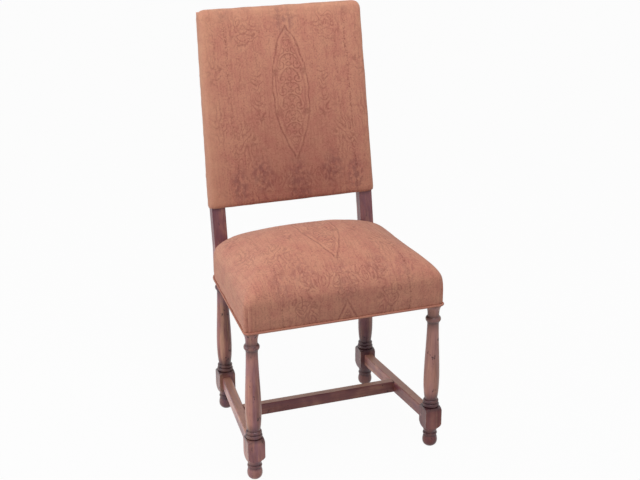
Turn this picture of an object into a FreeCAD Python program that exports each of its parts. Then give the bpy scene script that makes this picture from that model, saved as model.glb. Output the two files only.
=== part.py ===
import FreeCAD, Part
import math
import os

# Side chair: turned legs, H-shaped stretcher, raked back posts, upholstered seat and back panel.
# Millimetres, +Z up, the chair faces -Y, origin on the floor at the middle of the overall box.

# Leg positions, between leg axes
FRONT_LEG_SPACING = 503.0
REAR_LEG_SPACING = 436.0
LEG_DEPTH_SPACING = 402.0

# Turned leg, from the floor up
FOOT_HEIGHT = 55.0
FOOT_BULB_HEIGHT = 33.0
FOOT_RADIUS = 20.3
FOOT_PAD_RADIUS = 13.0
FOOT_RING_HEIGHT = 8.0
FOOT_RING_RADIUS = 19.6
FOOT_NECK_RADIUS = 17.0
BLOCK_HEIGHT = 64.0
BLOCK_SIDE = 46.0
BLOCK_LOWER_SHOULDER = 13.0
BLOCK_UPPER_SHOULDER = 8.0
BASE_RING_HEIGHT = 12.0
BASE_RING_RADIUS = 22.6
COLLAR_HEIGHT = 10.0
COLLAR_RADIUS = 21.0
RING_GROOVE_RADIUS = 18.6
BALUSTER_HEIGHT = 224.0
BALUSTER_FOOT_RADIUS = 17.0
BELLY_RADIUS = 21.3
BELLY_RISE = 60.0
NECK_RADIUS = 15.6
BEAD_HEIGHT = 22.0
BEAD_RADIUS = 20.8
BEAD_COVE = 7.0
WAIST_RADIUS = 15.8
BELL_HEIGHT = 34.0
BELL_RADIUS = 21.8
BELL_LIP = 3.0

# Points of the turned curves, as shares of a radius step and of a height
FOOT_SWELL = [(0.93, 0.22), (1.0, 0.55)]
BALUSTER_SWELL = [(0.75, 0.45), (1.0, 1.0)]
BALUSTER_TAPER = [(0.60, 0.45), (0.14, 0.82), (0.0, 1.0)]
BELL_FLARE = [(0.0, 0.25), (0.35, 0.66)]
COVE_FLARE = 0.3
SHOULDER_MIDDLE = 0.4
SHOULDER_BULGE = 2.0

# Seat frame
LEG_TOP_SIDE = 34.0
LEG_TOP_CORNER = 10.0
RAIL_HEIGHT = 70.0
RAIL_THICKNESS = 24.0
TENON_THICKNESS = 10.0
TENON_LENGTH = 14.0
TENON_SETBACK = 6.0
TENON_SHOULDER = 6.0
JOINT_CLEARANCE = 0.1
PEG_DIAMETER = 7.0
PEG_LENGTH = 24.0
PEG_STAGGER = 10.0
BRACE_LENGTH = 85.0
BRACE_HEIGHT = 46.0
BRACE_GAP = 1.0
SCREW_DIAMETER = 4.4
SCREW_LENGTH = 28.0
SCREW_HEAD_DIAMETER = 9.0
SCREW_HEAD_HEIGHT = 3.0
SCREW_PLACE = 55.0
SCREW_SEAT = 14.0

# Stretchers
STRETCHER_LIFT = 16.5
STRETCHER_HEIGHT = 32.0
STRETCHER_CHAMFER = 2.0
SIDE_STRETCHER_WIDTH = 25.0
MEDIAL_STRETCHER_WIDTH = 22.0
STRETCHER_TENON_LENGTH = 20.0
STRETCHER_TENON_SHOULDER = 4.0
MEDIAL_TENON_LENGTH = 14.0

# Raked back posts and back frame
RAKE_ANGLE = 10.3
FRONT_BEND_RISE = 42.0
POST_WIDTH = 38.0
POST_DEPTH = 28.0
POST_BEND_RADIUS = 120.0
PANEL_START = 148.5
PANEL_HEIGHT = 541.0
BACK_RAIL_HEIGHT = 50.0
BACK_RAIL_THICKNESS = 24.0
BACK_RAIL_INSET = 3.0

# Upholstery of the seat
SEAT_OVERHANG = 21.0
SEAT_REAR_OVERHANG = 12.0
SEAT_REAR_TURN = 8.5
SEAT_SIDE_HEIGHT = 70.0
SEAT_SIDE_SWELL = 1.0
SEAT_SIDE_STEPS = 3
SEAT_ROLL_RUN = 40.0
SEAT_ROLL_HEIGHT = 26.0
SEAT_CROWN_FLAT = 40.0
SEAT_CROWN_HEIGHT = 58.0
SEAT_HIP_GROWTH = 0.6
SEAT_HIP_LIMIT = 0.8
COVER_THICKNESS = 2.0
WELT_DIAMETER = 6.0
POST_SLIT_CLEARANCE = 0.5
DOME_ROLL_STEPS = 2
DOME_CROWN_STEPS = 4
DOME_CROWN_SPACING = 1.3
LOFT_DEGREE = 3

# Upholstery of the back
PANEL_SIDE_PAD = 6.0
PANEL_TAPER = 10.0
PANEL_FRONT_PAD = 10.0
PANEL_REAR_PAD = 4.0
PANEL_ROLL = 12.0
PANEL_CROWN_RUN = 150.0
PANEL_CROWN_HEIGHT = 5.0
PANEL_TOP_CORNER = 18.0
PANEL_BOTTOM_CORNER = 6.0
PANEL_CORNER_GROWTH = 0.4
PANEL_SEAM = 0.8

# Layers under the covers
WEBBING_THICKNESS = 1.6
WEBBING_WIDTH = 50.0
SEAT_WEBBING_LENGTHWISE_COUNT = 5
SEAT_WEBBING_CROSSWISE_COUNT = 4
BACK_WEBBING_UPRIGHT_COUNT = 3
BACK_WEBBING_CROSSWISE_COUNT = 4
WEBBING_EDGE = 9.0
HESSIAN_THICKNESS = 1.0
HESSIAN_EDGE = 14.0
LAYER_GAP = 0.1
SOFT_GAP = 0.3
PADDING_START = 150.0
DUST_COVER_THICKNESS = 1.0
DUST_COVER_EDGE = 8.0
TACK_HEAD_RADIUS = 4.5
TACK_HEAD_HEIGHT = 1.2
TACK_SHANK_RADIUS = 1.0
TACK_SHANK_LENGTH = 11.0
TACK_PITCH = 75.0

# Heights and places that follow from the sizes above
BLOCK_BOTTOM = FOOT_HEIGHT
BLOCK_TOP = BLOCK_BOTTOM + BLOCK_HEIGHT
COLLAR_BOTTOM = BLOCK_TOP + BASE_RING_HEIGHT
BALUSTER_BOTTOM = COLLAR_BOTTOM + COLLAR_HEIGHT
BALUSTER_TOP = BALUSTER_BOTTOM + BALUSTER_HEIGHT
BELL_BOTTOM = BALUSTER_TOP + BEAD_HEIGHT
FRAME_BOTTOM = BELL_BOTTOM + BELL_HEIGHT
FRAME_TOP = FRAME_BOTTOM + RAIL_HEIGHT
TOP_HALF = LEG_TOP_SIDE / 2
BLOCK_HALF = BLOCK_SIDE / 2
POST_HALF = POST_WIDTH / 2
FRONT_X = FRONT_LEG_SPACING / 2
REAR_X = REAR_LEG_SPACING / 2
REAR_Y = LEG_DEPTH_SPACING
SIDE_SLANT = math.degrees(math.atan2(FRONT_X - REAR_X, REAR_Y))
SIDE_LENGTH = math.hypot(FRONT_X - REAR_X, REAR_Y)
RAIL_OUTER = TOP_HALF * math.cos(math.radians(SIDE_SLANT))
STRETCHER_BOTTOM = BLOCK_BOTTOM + STRETCHER_LIFT
STRETCHER_TOP = STRETCHER_BOTTOM + STRETCHER_HEIGHT
BEND_Y = REAR_Y - TOP_HALF
BEND_Z = FRAME_BOTTOM + FRONT_BEND_RISE
RAKE_SIN = math.sin(math.radians(RAKE_ANGLE))
RAKE_COS = math.cos(math.radians(RAKE_ANGLE))
PANEL_TOP = PANEL_START + PANEL_HEIGHT
POST_TOP = PANEL_TOP - COVER_THICKNESS - BACK_RAIL_INSET
PANEL_HALF = REAR_X + POST_HALF + PANEL_SIDE_PAD
PANEL_REAR = POST_DEPTH + PANEL_REAR_PAD
COVER_BOTTOM = FRAME_BOTTOM + WELT_DIAMETER + LAYER_GAP
WEBBING_STACK = 2 * WEBBING_THICKNESS + LAYER_GAP
SEAT_DEPTH = REAR_Y + 2 * SEAT_OVERHANG
SEAT_FRONT_CORNER = LEG_TOP_CORNER + SEAT_OVERHANG - TOP_HALF
SEAT_REAR_HALF = REAR_X + TOP_HALF + SEAT_REAR_OVERHANG
SEAT_POST_DEPTH = SEAT_OVERHANG + TOP_HALF
SEAT_REAR_CORNER = SEAT_REAR_TURN + SEAT_POST_DEPTH + math.sqrt(2 * SEAT_REAR_TURN * SEAT_POST_DEPTH)
SEAT_SIDE_ROOM = COVER_THICKNESS + SOFT_GAP
SEAT_LEG_HALF = FRONT_X + TOP_HALF + SEAT_SIDE_ROOM
SEAT_TAPER = (SEAT_LEG_HALF - SEAT_REAR_HALF) / (REAR_Y + SEAT_OVERHANG - TOP_HALF)
SEAT_FRONT_HALF = SEAT_LEG_HALF + SEAT_TAPER * SEAT_POST_DEPTH
SEAT_CROWN_RUN = SEAT_DEPTH / 2 - SEAT_CROWN_FLAT
PADDING_BOTTOM = FRAME_TOP + WEBBING_STACK + HESSIAN_THICKNESS + 2 * LAYER_GAP
FAR = 1000.0
OVERCUT = 1.0

Z_AXIS = FreeCAD.Vector(0, 0, 1)
X_AXIS = FreeCAD.Vector(1, 0, 0)
ORIGIN = FreeCAD.Vector(0, 0, 0)


def vec(x, y, z=0.0):
    return FreeCAD.Vector(x, y, z)


def box(x0, x1, y0, y1, z0, z1):
    return Part.makeBox(x1 - x0, y1 - y0, z1 - z0, vec(x0, y0, z0))


def mirrored(shape):
    """The left-hand twin of a right-hand piece."""
    return shape.mirror(ORIGIN, X_AXIS)


def moved(shape, x=0.0, y=0.0, z=0.0):
    return shape.translated(vec(x, y, z))


def cylinder(radius, length, start, direction):
    return Part.makeCylinder(radius, length, start, direction)


def rounded_outline(corners, radii):
    """Closed wire through the corners, each rounded by its own radius, or sharp at zero."""
    edges = []
    count = len(corners)
    entries = []
    exits = []
    mids = []
    for i, corner in enumerate(corners):
        before = (corners[i - 1] - corner).normalize()
        after = (corners[(i + 1) % count] - corner).normalize()
        half = before.getAngle(after) / 2
        reach = radii[i] / math.tan(half) if radii[i] else 0.0
        entries.append(corner + before * reach)
        exits.append(corner + after * reach)
        bisector = before + after
        if radii[i]:
            bisector.normalize()
        mids.append(corner + bisector * (radii[i] / math.sin(half) - radii[i]))
    for i in range(count):
        if radii[i]:
            edges.append(Part.Arc(entries[i], mids[i], exits[i]).toShape())
        edges.append(Part.makeLine(exits[i], entries[(i + 1) % count]))
    return Part.Wire(edges)


def prism(points, z0, z1):
    """Upright prism on a plan polygon."""
    wire = Part.makePolygon([vec(x, y, z0) for x, y in points + points[:1]])
    return Part.Face(wire).extrude(vec(0, 0, z1 - z0))


def along_side(shape):
    """Takes a piece drawn from the leg axis along +Y, outside at +X, to the slanted right side."""
    turned = shape.copy()
    turned.rotate(ORIGIN, Z_AXIS, SIDE_SLANT)
    return moved(turned, FRONT_X)


def raked(shape):
    """Takes a piece drawn against the upright post front to the leaning back."""
    leaning = shape.copy()
    leaning.rotate(ORIGIN, X_AXIS, -RAKE_ANGLE)
    return moved(leaning, 0.0, BEND_Y, BEND_Z)


def grown(x0, x1, y0, y1, z0, z1, gap):
    return box(x0 - gap, x1 + gap, y0 - gap, y1 + gap, z0 - gap, z1 + gap)


# Turned legs

class Turning:
    """Half section of a turned length, drawn upwards and closed on the axis."""

    def __init__(self, radius, height):
        self.start = vec(radius, 0, height)
        self.end = self.start
        self.edges = []

    def line(self, radius, height):
        point = vec(radius, 0, height)
        self.edges.append(Part.makeLine(self.end, point))
        self.end = point

    def arc(self, mid_radius, mid_height, radius, height):
        point = vec(radius, 0, height)
        self.edges.append(Part.Arc(self.end, vec(mid_radius, 0, mid_height), point).toShape())
        self.end = point

    def curve(self, points):
        spline = Part.BSplineCurve()
        spline.interpolate([self.end] + [vec(r, 0, z) for r, z in points])
        self.edges.append(spline.toShape())
        self.end = vec(points[-1][0], 0, points[-1][1])

    def solid(self):
        top = vec(0, 0, self.end.z)
        bottom = vec(0, 0, self.start.z)
        closing = [
            Part.makeLine(self.end, top),
            Part.makeLine(top, bottom),
            Part.makeLine(bottom, self.start),
        ]
        return Part.Face(Part.Wire(self.edges + closing)).revolve(ORIGIN, Z_AXIS, 360)


def foot_turning():
    ring_middle = FOOT_BULB_HEIGHT + FOOT_RING_HEIGHT / 2
    ring_top = FOOT_BULB_HEIGHT + FOOT_RING_HEIGHT
    turning = Turning(FOOT_PAD_RADIUS, 0)
    swell = [(FOOT_RADIUS * out, FOOT_BULB_HEIGHT * up) for out, up in FOOT_SWELL]
    turning.curve(swell + [(FOOT_NECK_RADIUS, FOOT_BULB_HEIGHT)])
    turning.arc(FOOT_RING_RADIUS, ring_middle, FOOT_NECK_RADIUS, ring_top)
    turning.line(FOOT_RADIUS, FOOT_HEIGHT)
    return turning.solid()


def block():
    """Square block whose ends are turned down to round shoulders."""
    corner = BLOCK_HALF * math.sqrt(2)
    low = BLOCK_BOTTOM + BLOCK_LOWER_SHOULDER
    high = BLOCK_TOP - BLOCK_UPPER_SHOULDER
    low_radius = (FOOT_RADIUS + corner) / 2 + SHOULDER_BULGE
    high_radius = (BASE_RING_RADIUS + corner) / 2 + SHOULDER_BULGE
    turning = Turning(FOOT_RADIUS, BLOCK_BOTTOM)
    turning.arc(low_radius, BLOCK_BOTTOM + BLOCK_LOWER_SHOULDER * SHOULDER_MIDDLE, corner, low)
    turning.line(corner, high)
    turning.arc(high_radius, BLOCK_TOP - BLOCK_UPPER_SHOULDER * SHOULDER_MIDDLE, BASE_RING_RADIUS, BLOCK_TOP)
    square = box(-BLOCK_HALF, BLOCK_HALF, -BLOCK_HALF, BLOCK_HALF, BLOCK_BOTTOM, BLOCK_TOP)
    return square.common(turning.solid())


def shaft_turning():
    """Rings, long baluster, bead and bell between the block and the seat frame."""
    belly = BALUSTER_BOTTOM + BELLY_RISE
    taper = BALUSTER_TOP - belly
    cove_top = BALUSTER_TOP + BEAD_COVE
    bead_middle = (cove_top + BELL_BOTTOM) / 2
    cove_radius = NECK_RADIUS + COVE_FLARE * (BEAD_RADIUS - NECK_RADIUS)
    lip = FRAME_BOTTOM - BELL_LIP
    foot = BALUSTER_FOOT_RADIUS
    foot_step = BELLY_RADIUS - foot
    neck_step = BELLY_RADIUS - NECK_RADIUS
    bell_step = BELL_RADIUS - WAIST_RADIUS
    swell = [(foot + foot_step * out, BALUSTER_BOTTOM + BELLY_RISE * up) for out, up in BALUSTER_SWELL]
    narrowing = [(NECK_RADIUS + neck_step * out, belly + taper * up) for out, up in BALUSTER_TAPER]
    flare = [(WAIST_RADIUS + bell_step * out, BELL_BOTTOM + BELL_HEIGHT * up) for out, up in BELL_FLARE]
    turning = Turning(RING_GROOVE_RADIUS, BLOCK_TOP)
    turning.arc(BASE_RING_RADIUS, BLOCK_TOP + BASE_RING_HEIGHT / 2, RING_GROOVE_RADIUS, COLLAR_BOTTOM)
    turning.arc(COLLAR_RADIUS, COLLAR_BOTTOM + COLLAR_HEIGHT / 2, BALUSTER_FOOT_RADIUS, BALUSTER_BOTTOM)
    turning.curve(swell + narrowing)
    turning.line(cove_radius, cove_top)
    turning.arc(BEAD_RADIUS, bead_middle, WAIST_RADIUS, BELL_BOTTOM)
    turning.curve(flare + [(BELL_RADIUS, lip)])
    turning.line(BELL_RADIUS, FRAME_BOTTOM)
    return turning.solid()


def post_outline(gap=0.0):
    """Side view of the rear leg above its turning: upright at the seat, raked above it."""
    depth = POST_DEPTH + gap
    bend_rise = (LEG_TOP_SIDE + gap - depth * RAKE_COS) / RAKE_SIN
    rear_y = REAR_Y + TOP_HALF + gap

    def on_post(v, w):
        return vec(0, BEND_Y + v * RAKE_COS + w * RAKE_SIN, BEND_Z - v * RAKE_SIN + w * RAKE_COS)

    corners = [
        vec(0, BEND_Y - gap, FRAME_BOTTOM),
        on_post(-gap, 0),
        on_post(-gap, POST_TOP + gap),
        on_post(depth, POST_TOP + gap),
        vec(0, rear_y, on_post(depth, bend_rise).z),
        vec(0, rear_y, FRAME_BOTTOM),
    ]
    corners[1].y = BEND_Y - gap
    return rounded_outline(corners, [0, POST_BEND_RADIUS, 0, 0, POST_BEND_RADIUS, 0])


def post_solid(x0, x1, gap=0.0):
    face = Part.Face(post_outline(gap))
    return moved(face.extrude(vec(x1 - x0, 0, 0)), x0)


def front_leg_top():
    """Square top of the right front leg, its outer corner rounded under the cover."""
    near = -TOP_HALF
    far = TOP_HALF
    plan = [(far, near), (far, far), (near, far), (near, near)]
    corners = [vec(x, y, FRAME_BOTTOM) for x, y in plan]
    wire = rounded_outline(corners, [LEG_TOP_CORNER, 0, 0, 0])
    return Part.Face(wire).extrude(vec(0, 0, RAIL_HEIGHT))


def rear_post():
    """Right rear post, tapered on its outer side inside the back panel and rounded at the top corner."""
    outer = REAR_X + POST_HALF
    upper = outer - PANEL_TAPER * (POST_TOP - PANEL_START) / PANEL_HEIGHT
    inside = [(outer, PANEL_START), (upper, POST_TOP), (0, POST_TOP)]
    below = [(0, -FAR), (FAR, -FAR), (FAR, PANEL_START)]
    corners = [vec(x, -FAR, w) for x, w in inside + below]
    wire = rounded_outline(corners, [0, PANEL_TOP_CORNER, 0, 0, 0, 0])
    room = raked(Part.Face(wire).extrude(vec(0, 2 * FAR, 0)))
    return post_solid(REAR_X - POST_HALF, outer).common(room)


def turned_leg(x, y, upper):
    leg = foot_turning().multiFuse([block(), shaft_turning()])
    return moved(leg, x, y).fuse(upper).removeSplitter()


# Frame members that end in tenons, each with the mortise that takes it

def stretcher_bar(width, start, end):
    """Bar along +Y with its two upper edges chamfered."""
    half = width / 2
    shoulder = STRETCHER_TOP - STRETCHER_CHAMFER
    section = [
        vec(-half, start, STRETCHER_BOTTOM),
        vec(half, start, STRETCHER_BOTTOM),
        vec(half, start, shoulder),
        vec(half - STRETCHER_CHAMFER, start, STRETCHER_TOP),
        vec(STRETCHER_CHAMFER - half, start, STRETCHER_TOP),
        vec(-half, start, shoulder),
    ]
    wire = Part.makePolygon(section + section[:1])
    return Part.Face(wire).extrude(vec(0, end - start, 0))


def stretcher_tenon(start, end, gap=0.0):
    half = TENON_THICKNESS / 2
    low = STRETCHER_BOTTOM + STRETCHER_TENON_SHOULDER
    high = STRETCHER_TOP - STRETCHER_TENON_SHOULDER
    return grown(-half, half, start, end, low, high, gap)


def side_stretcher_tenon(gap=0.0):
    inset = BLOCK_HALF - STRETCHER_TENON_LENGTH
    return along_side(stretcher_tenon(inset, SIDE_LENGTH - inset, gap))


def side_stretcher():
    bar = along_side(stretcher_bar(SIDE_STRETCHER_WIDTH, 0, SIDE_LENGTH))
    low = STRETCHER_BOTTOM - OVERCUT
    high = STRETCHER_TOP + OVERCUT
    bar = bar.cut(box(0, FAR, -FAR, BLOCK_HALF, low, high))
    bar = bar.cut(box(0, FAR, REAR_Y - BLOCK_HALF, FAR, low, high))
    return bar.fuse(side_stretcher_tenon()).removeSplitter()


def medial_place(shape):
    """Takes a bar drawn along +Y about its middle across the chair, midway between the legs."""
    across = shape.copy()
    across.rotate(ORIGIN, Z_AXIS, -90)
    return moved(across, 0.0, REAR_Y / 2)


def medial_reach():
    """Half the clear width between the side stretchers at mid depth."""
    return (FRONT_X + REAR_X) / 2 - SIDE_STRETCHER_WIDTH / 2 / math.cos(math.radians(SIDE_SLANT))


def medial_tenon(gap=0.0):
    reach = medial_reach() + MEDIAL_TENON_LENGTH
    return medial_place(stretcher_tenon(-reach, reach, gap))


def medial_stretcher():
    bar = medial_place(stretcher_bar(MEDIAL_STRETCHER_WIDTH, -FRONT_X, FRONT_X))
    inner = -SIDE_STRETCHER_WIDTH / 2
    low = STRETCHER_BOTTOM - OVERCUT
    high = STRETCHER_TOP + OVERCUT
    beyond = along_side(box(inner, FAR, 0, SIDE_LENGTH, low, high))
    bar = bar.cut(beyond).cut(mirrored(beyond))
    return bar.fuse(medial_tenon()).removeSplitter()


def rail_heights():
    return FRAME_BOTTOM + TENON_SHOULDER, FRAME_TOP - TENON_SHOULDER


def front_rail_tenon(gap=0.0):
    low, high = rail_heights()
    reach = FRONT_X - TOP_HALF + TENON_LENGTH
    front = -TOP_HALF + TENON_SETBACK
    return grown(-reach, reach, front, front + TENON_THICKNESS, low, high, gap)


def front_rail():
    half = FRONT_X - TOP_HALF
    rail = box(-half, half, -TOP_HALF, RAIL_THICKNESS - TOP_HALF, FRAME_BOTTOM, FRAME_TOP)
    return rail.fuse(front_rail_tenon()).removeSplitter()


def rear_rail_tenon(gap=0.0):
    low, high = rail_heights()
    reach = REAR_X - POST_HALF + TENON_LENGTH
    front = REAR_Y + RAIL_THICKNESS / 2 - TENON_THICKNESS
    return grown(-reach, reach, front, front + TENON_THICKNESS, low, high, gap)


def rear_rail():
    half = REAR_X - POST_HALF
    front = REAR_Y - RAIL_THICKNESS / 2
    rail = box(-half, half, front, front + RAIL_THICKNESS, FRAME_BOTTOM, FRAME_TOP)
    return rail.fuse(rear_rail_tenon()).removeSplitter()


def side_rail_tenon(gap=0.0):
    low, high = rail_heights()
    inset = TOP_HALF - TENON_LENGTH
    outer = RAIL_OUTER - TENON_SETBACK
    return along_side(grown(outer - TENON_THICKNESS, outer, inset, SIDE_LENGTH - inset, low, high, gap))


def side_rail():
    inner = RAIL_OUTER - RAIL_THICKNESS
    rail = along_side(box(inner, RAIL_OUTER, 0, SIDE_LENGTH, FRAME_BOTTOM, FRAME_TOP))
    rail = rail.cut(box(0, FAR, -FAR, TOP_HALF, FRAME_BOTTOM, FRAME_TOP))
    rail = rail.cut(post_solid(0, FAR)).cut(box(0, FAR, REAR_Y, FAR, FRAME_BOTTOM, FRAME_TOP))
    return rail.fuse(side_rail_tenon()).removeSplitter()


def back_rail_tenon(bottom, gap=0.0):
    reach = REAR_X - POST_HALF + TENON_LENGTH
    front = (BACK_RAIL_THICKNESS - TENON_THICKNESS) / 2
    low = bottom + TENON_SHOULDER
    high = bottom + BACK_RAIL_HEIGHT - TENON_SHOULDER
    return raked(grown(-reach, reach, front, front + TENON_THICKNESS, low, high, gap))


def back_rail(bottom):
    half = REAR_X - POST_HALF
    rail = raked(box(-half, half, 0, BACK_RAIL_THICKNESS, bottom, bottom + BACK_RAIL_HEIGHT))
    return rail.fuse(back_rail_tenon(bottom)).removeSplitter()


def back_rail_bottoms():
    lower = PANEL_START + COVER_THICKNESS + BACK_RAIL_INSET
    upper = POST_TOP - BACK_RAIL_HEIGHT
    return lower, upper


# Pegs, corner blocks and their screws

def stretcher_peg_places():
    """Start and direction of the peg through each right-hand stretcher tenon."""
    height = (STRETCHER_BOTTOM + STRETCHER_TOP) / 2
    reach = BLOCK_HALF - STRETCHER_TENON_LENGTH / 2
    inward = vec(1, 0, 0)
    return [
        (vec(FRONT_X - BLOCK_HALF, reach, height), inward),
        (vec(REAR_X - BLOCK_HALF, REAR_Y - reach, height), inward),
    ]


def rail_peg_places():
    """Start and direction of the peg through each right-hand seat rail tenon."""
    middle = (FRAME_BOTTOM + FRAME_TOP) / 2
    reach = TOP_HALF - TENON_LENGTH / 2
    across = POST_HALF - TENON_LENGTH / 2
    return [
        (vec(FRONT_X - reach, -TOP_HALF, middle - PEG_STAGGER), vec(0, 1, 0)),
        (vec(FRONT_X + TOP_HALF, reach, middle + PEG_STAGGER), vec(-1, 0, 0)),
        (vec(REAR_X - across, REAR_Y + TOP_HALF, middle - PEG_STAGGER), vec(0, -1, 0)),
        (vec(REAR_X + POST_HALF, REAR_Y - reach, middle + PEG_STAGGER), vec(-1, 0, 0)),
    ]


def pegs(places, gap=0.0):
    return [cylinder(PEG_DIAMETER / 2 + gap, PEG_LENGTH + gap, start, way) for start, way in places]


def both_sides(shapes):
    return shapes + [mirrored(shape) for shape in shapes]


def corner_block(rear):
    """Right-hand corner block, notched round the leg and lying against both rails."""
    middle = (FRAME_BOTTOM + FRAME_TOP) / 2
    low = middle - BRACE_HEIGHT / 2
    high = middle + BRACE_HEIGHT / 2
    way = -1 if rear else 1
    leg_x = REAR_X if rear else FRONT_X
    face_y = REAR_Y - RAIL_THICKNESS / 2 if rear else RAIL_THICKNESS - TOP_HALF
    leg_y = REAR_Y if rear else 0.0
    outer = leg_x + TOP_HALF / 2
    plan = [(outer, face_y), (leg_x - BRACE_LENGTH, face_y), (outer, face_y + way * BRACE_LENGTH)]
    blank = prism(plan, low, high)
    notch_x = leg_x - max(TOP_HALF, POST_HALF) - BRACE_GAP
    notch_y = sorted([leg_y - way * FAR, leg_y + way * (TOP_HALF + BRACE_GAP)])
    blank = blank.cut(box(notch_x, FAR, notch_y[0], notch_y[1], low, high))
    inner = RAIL_OUTER - RAIL_THICKNESS
    return blank.cut(along_side(box(inner, FAR, -FAR, FAR, low, high)))


def screw_places():
    """Seat of each right-hand screw head and the direction in which the screw is driven."""
    middle = (FRAME_BOTTOM + FRAME_TOP) / 2
    slant = math.radians(SIDE_SLANT)
    outward = vec(math.cos(slant), math.sin(slant), 0)
    ahead = vec(-math.sin(slant), math.cos(slant), 0)
    inner = vec(FRONT_X, 0, middle) + outward * (RAIL_OUTER - RAIL_THICKNESS - SCREW_SEAT)
    front_face = RAIL_THICKNESS - TOP_HALF
    rear_face = REAR_Y - RAIL_THICKNESS / 2
    return [
        (vec(FRONT_X - SCREW_PLACE, front_face + SCREW_SEAT, middle), vec(0, -1, 0)),
        (inner + ahead * SCREW_PLACE, outward),
        (vec(REAR_X - SCREW_PLACE, rear_face - SCREW_SEAT, middle), vec(0, 1, 0)),
        (inner + ahead * (SIDE_LENGTH - SCREW_PLACE), outward),
    ]


def screw(seat, way):
    shank = cylinder(SCREW_DIAMETER / 2, SCREW_LENGTH, seat, way)
    head = cylinder(SCREW_HEAD_DIAMETER / 2, SCREW_HEAD_HEIGHT, seat - way * SCREW_HEAD_HEIGHT, way)
    return head.fuse(shank).removeSplitter()


def screw_hole(seat, way):
    """Hole for the shank and an open well down to the seat of the head."""
    shank = cylinder(SCREW_DIAMETER / 2 + JOINT_CLEARANCE, SCREW_LENGTH + JOINT_CLEARANCE, seat, way)
    well = cylinder(SCREW_HEAD_DIAMETER / 2 + SOFT_GAP, BRACE_LENGTH, seat - way * BRACE_LENGTH, way)
    return shank.fuse(well)


# Seat upholstery

def seat_ring(height, inset, front_corner=SEAT_FRONT_CORNER):
    """Plan outline of the seat at one height, drawn in all round by the inset."""
    front_y = inset - SEAT_OVERHANG
    rear_y = REAR_Y + SEAT_OVERHANG - inset
    near = SEAT_FRONT_HALF - (1 + SEAT_TAPER) * inset
    far = SEAT_REAR_HALF - (1 - SEAT_TAPER) * inset
    corners = [
        vec(near, front_y, height),
        vec(far, rear_y, height),
        vec(-far, rear_y, height),
        vec(-near, front_y, height),
    ]
    growth = SEAT_HIP_GROWTH * max(inset, 0.0)
    limit = SEAT_HIP_LIMIT * (SEAT_DEPTH / 2 - inset)
    front = min(front_corner + growth, limit)
    rear = min(SEAT_REAR_CORNER + growth, limit)
    return rounded_outline(corners, [front, rear, rear, front])


def smooth_loft(rings):
    """Closed solid through the rings, kept to cubic curves so that it doesn't swing between them."""
    return Part.makeLoft(rings, True, False, False, LOFT_DEGREE)


def dome_insets(roll, run):
    """Insets of the sections of a dome: close together round the rolled edge, wider over the crown."""
    insets = []
    for k in range(1, DOME_ROLL_STEPS + 1):
        insets.append(roll * (1 - math.cos(math.pi / 2 * k / DOME_ROLL_STEPS)))
    for k in range(1, DOME_CROWN_STEPS + 1):
        insets.append(roll + (run - roll) * (k / DOME_CROWN_STEPS) ** DOME_CROWN_SPACING)
    return insets


def seat_rise(inset):
    """Height of the cushion above its upper edge, at an inset from the side."""
    roll = min(inset / SEAT_ROLL_RUN, 1.0)
    crown = math.sin(math.pi / 2 * min(inset / SEAT_CROWN_RUN, 1.0))
    return SEAT_ROLL_HEIGHT * math.sqrt(1 - (1 - roll) ** 2) + SEAT_CROWN_HEIGHT * crown


def seat_form(skin, bottom):
    """Cushion with swelling sides, rolled edge and crown, lying inside the outer face by the skin."""
    edge = COVER_BOTTOM + SEAT_SIDE_HEIGHT
    rings = []
    for k in range(SEAT_SIDE_STEPS + 1):
        share = k / SEAT_SIDE_STEPS
        swell = SEAT_SIDE_SWELL * math.sin(math.pi * share)
        rings.append(seat_ring(bottom + (edge - skin - bottom) * share, skin - swell))
    for inset in dome_insets(SEAT_ROLL_RUN, SEAT_CROWN_RUN):
        rings.append(seat_ring(edge - skin + seat_rise(inset), inset + skin))
    return smooth_loft(rings)


def post_slits(gap):
    """Room cut out of the soft layers round both rear posts and beside their outer faces."""
    inner = REAR_X - POST_HALF - gap
    outer = REAR_X + POST_HALF + gap
    below = FRAME_BOTTOM - BELL_HEIGHT
    right = post_solid(inner, FAR, gap)
    beyond = box(outer, FAR, REAR_Y, FAR, below, FAR)
    under = box(inner, FAR, REAR_Y - TOP_HALF - gap, FAR, below, FRAME_BOTTOM)
    right = right.fuse([beyond, under])
    return right, mirrored(right)


def seat_cover():
    cover = seat_form(0.0, COVER_BOTTOM).cut(seat_form(COVER_THICKNESS, COVER_BOTTOM - OVERCUT))
    for slit in post_slits(POST_SLIT_CLEARANCE):
        cover = cover.cut(slit)
    return cover


def seat_padding():
    """Stuffing above the hessian, with side pads outside the rails towards the rear."""
    padding = seat_form(COVER_THICKNESS + SOFT_GAP, COVER_BOTTOM)
    frame_room = box(-FAR, FAR, -FAR, PADDING_START, 0, PADDING_BOTTOM)
    slope = math.tan(math.radians(SIDE_SLANT))
    near = FRONT_X + TOP_HALF + SOFT_GAP - slope * PADDING_START
    far = FRONT_X + TOP_HALF + SOFT_GAP - slope * FAR
    between_rails = [(near, PADDING_START), (far, FAR), (-far, FAR), (-near, PADDING_START)]
    rear_room = box(-FAR, FAR, REAR_Y - TOP_HALF - SOFT_GAP, FAR, 0, PADDING_BOTTOM)
    padding = padding.cut(frame_room.fuse([prism(between_rails, 0, PADDING_BOTTOM), rear_room]))
    for slit in post_slits(POST_SLIT_CLEARANCE):
        padding = padding.cut(slit)
    return padding


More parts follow.
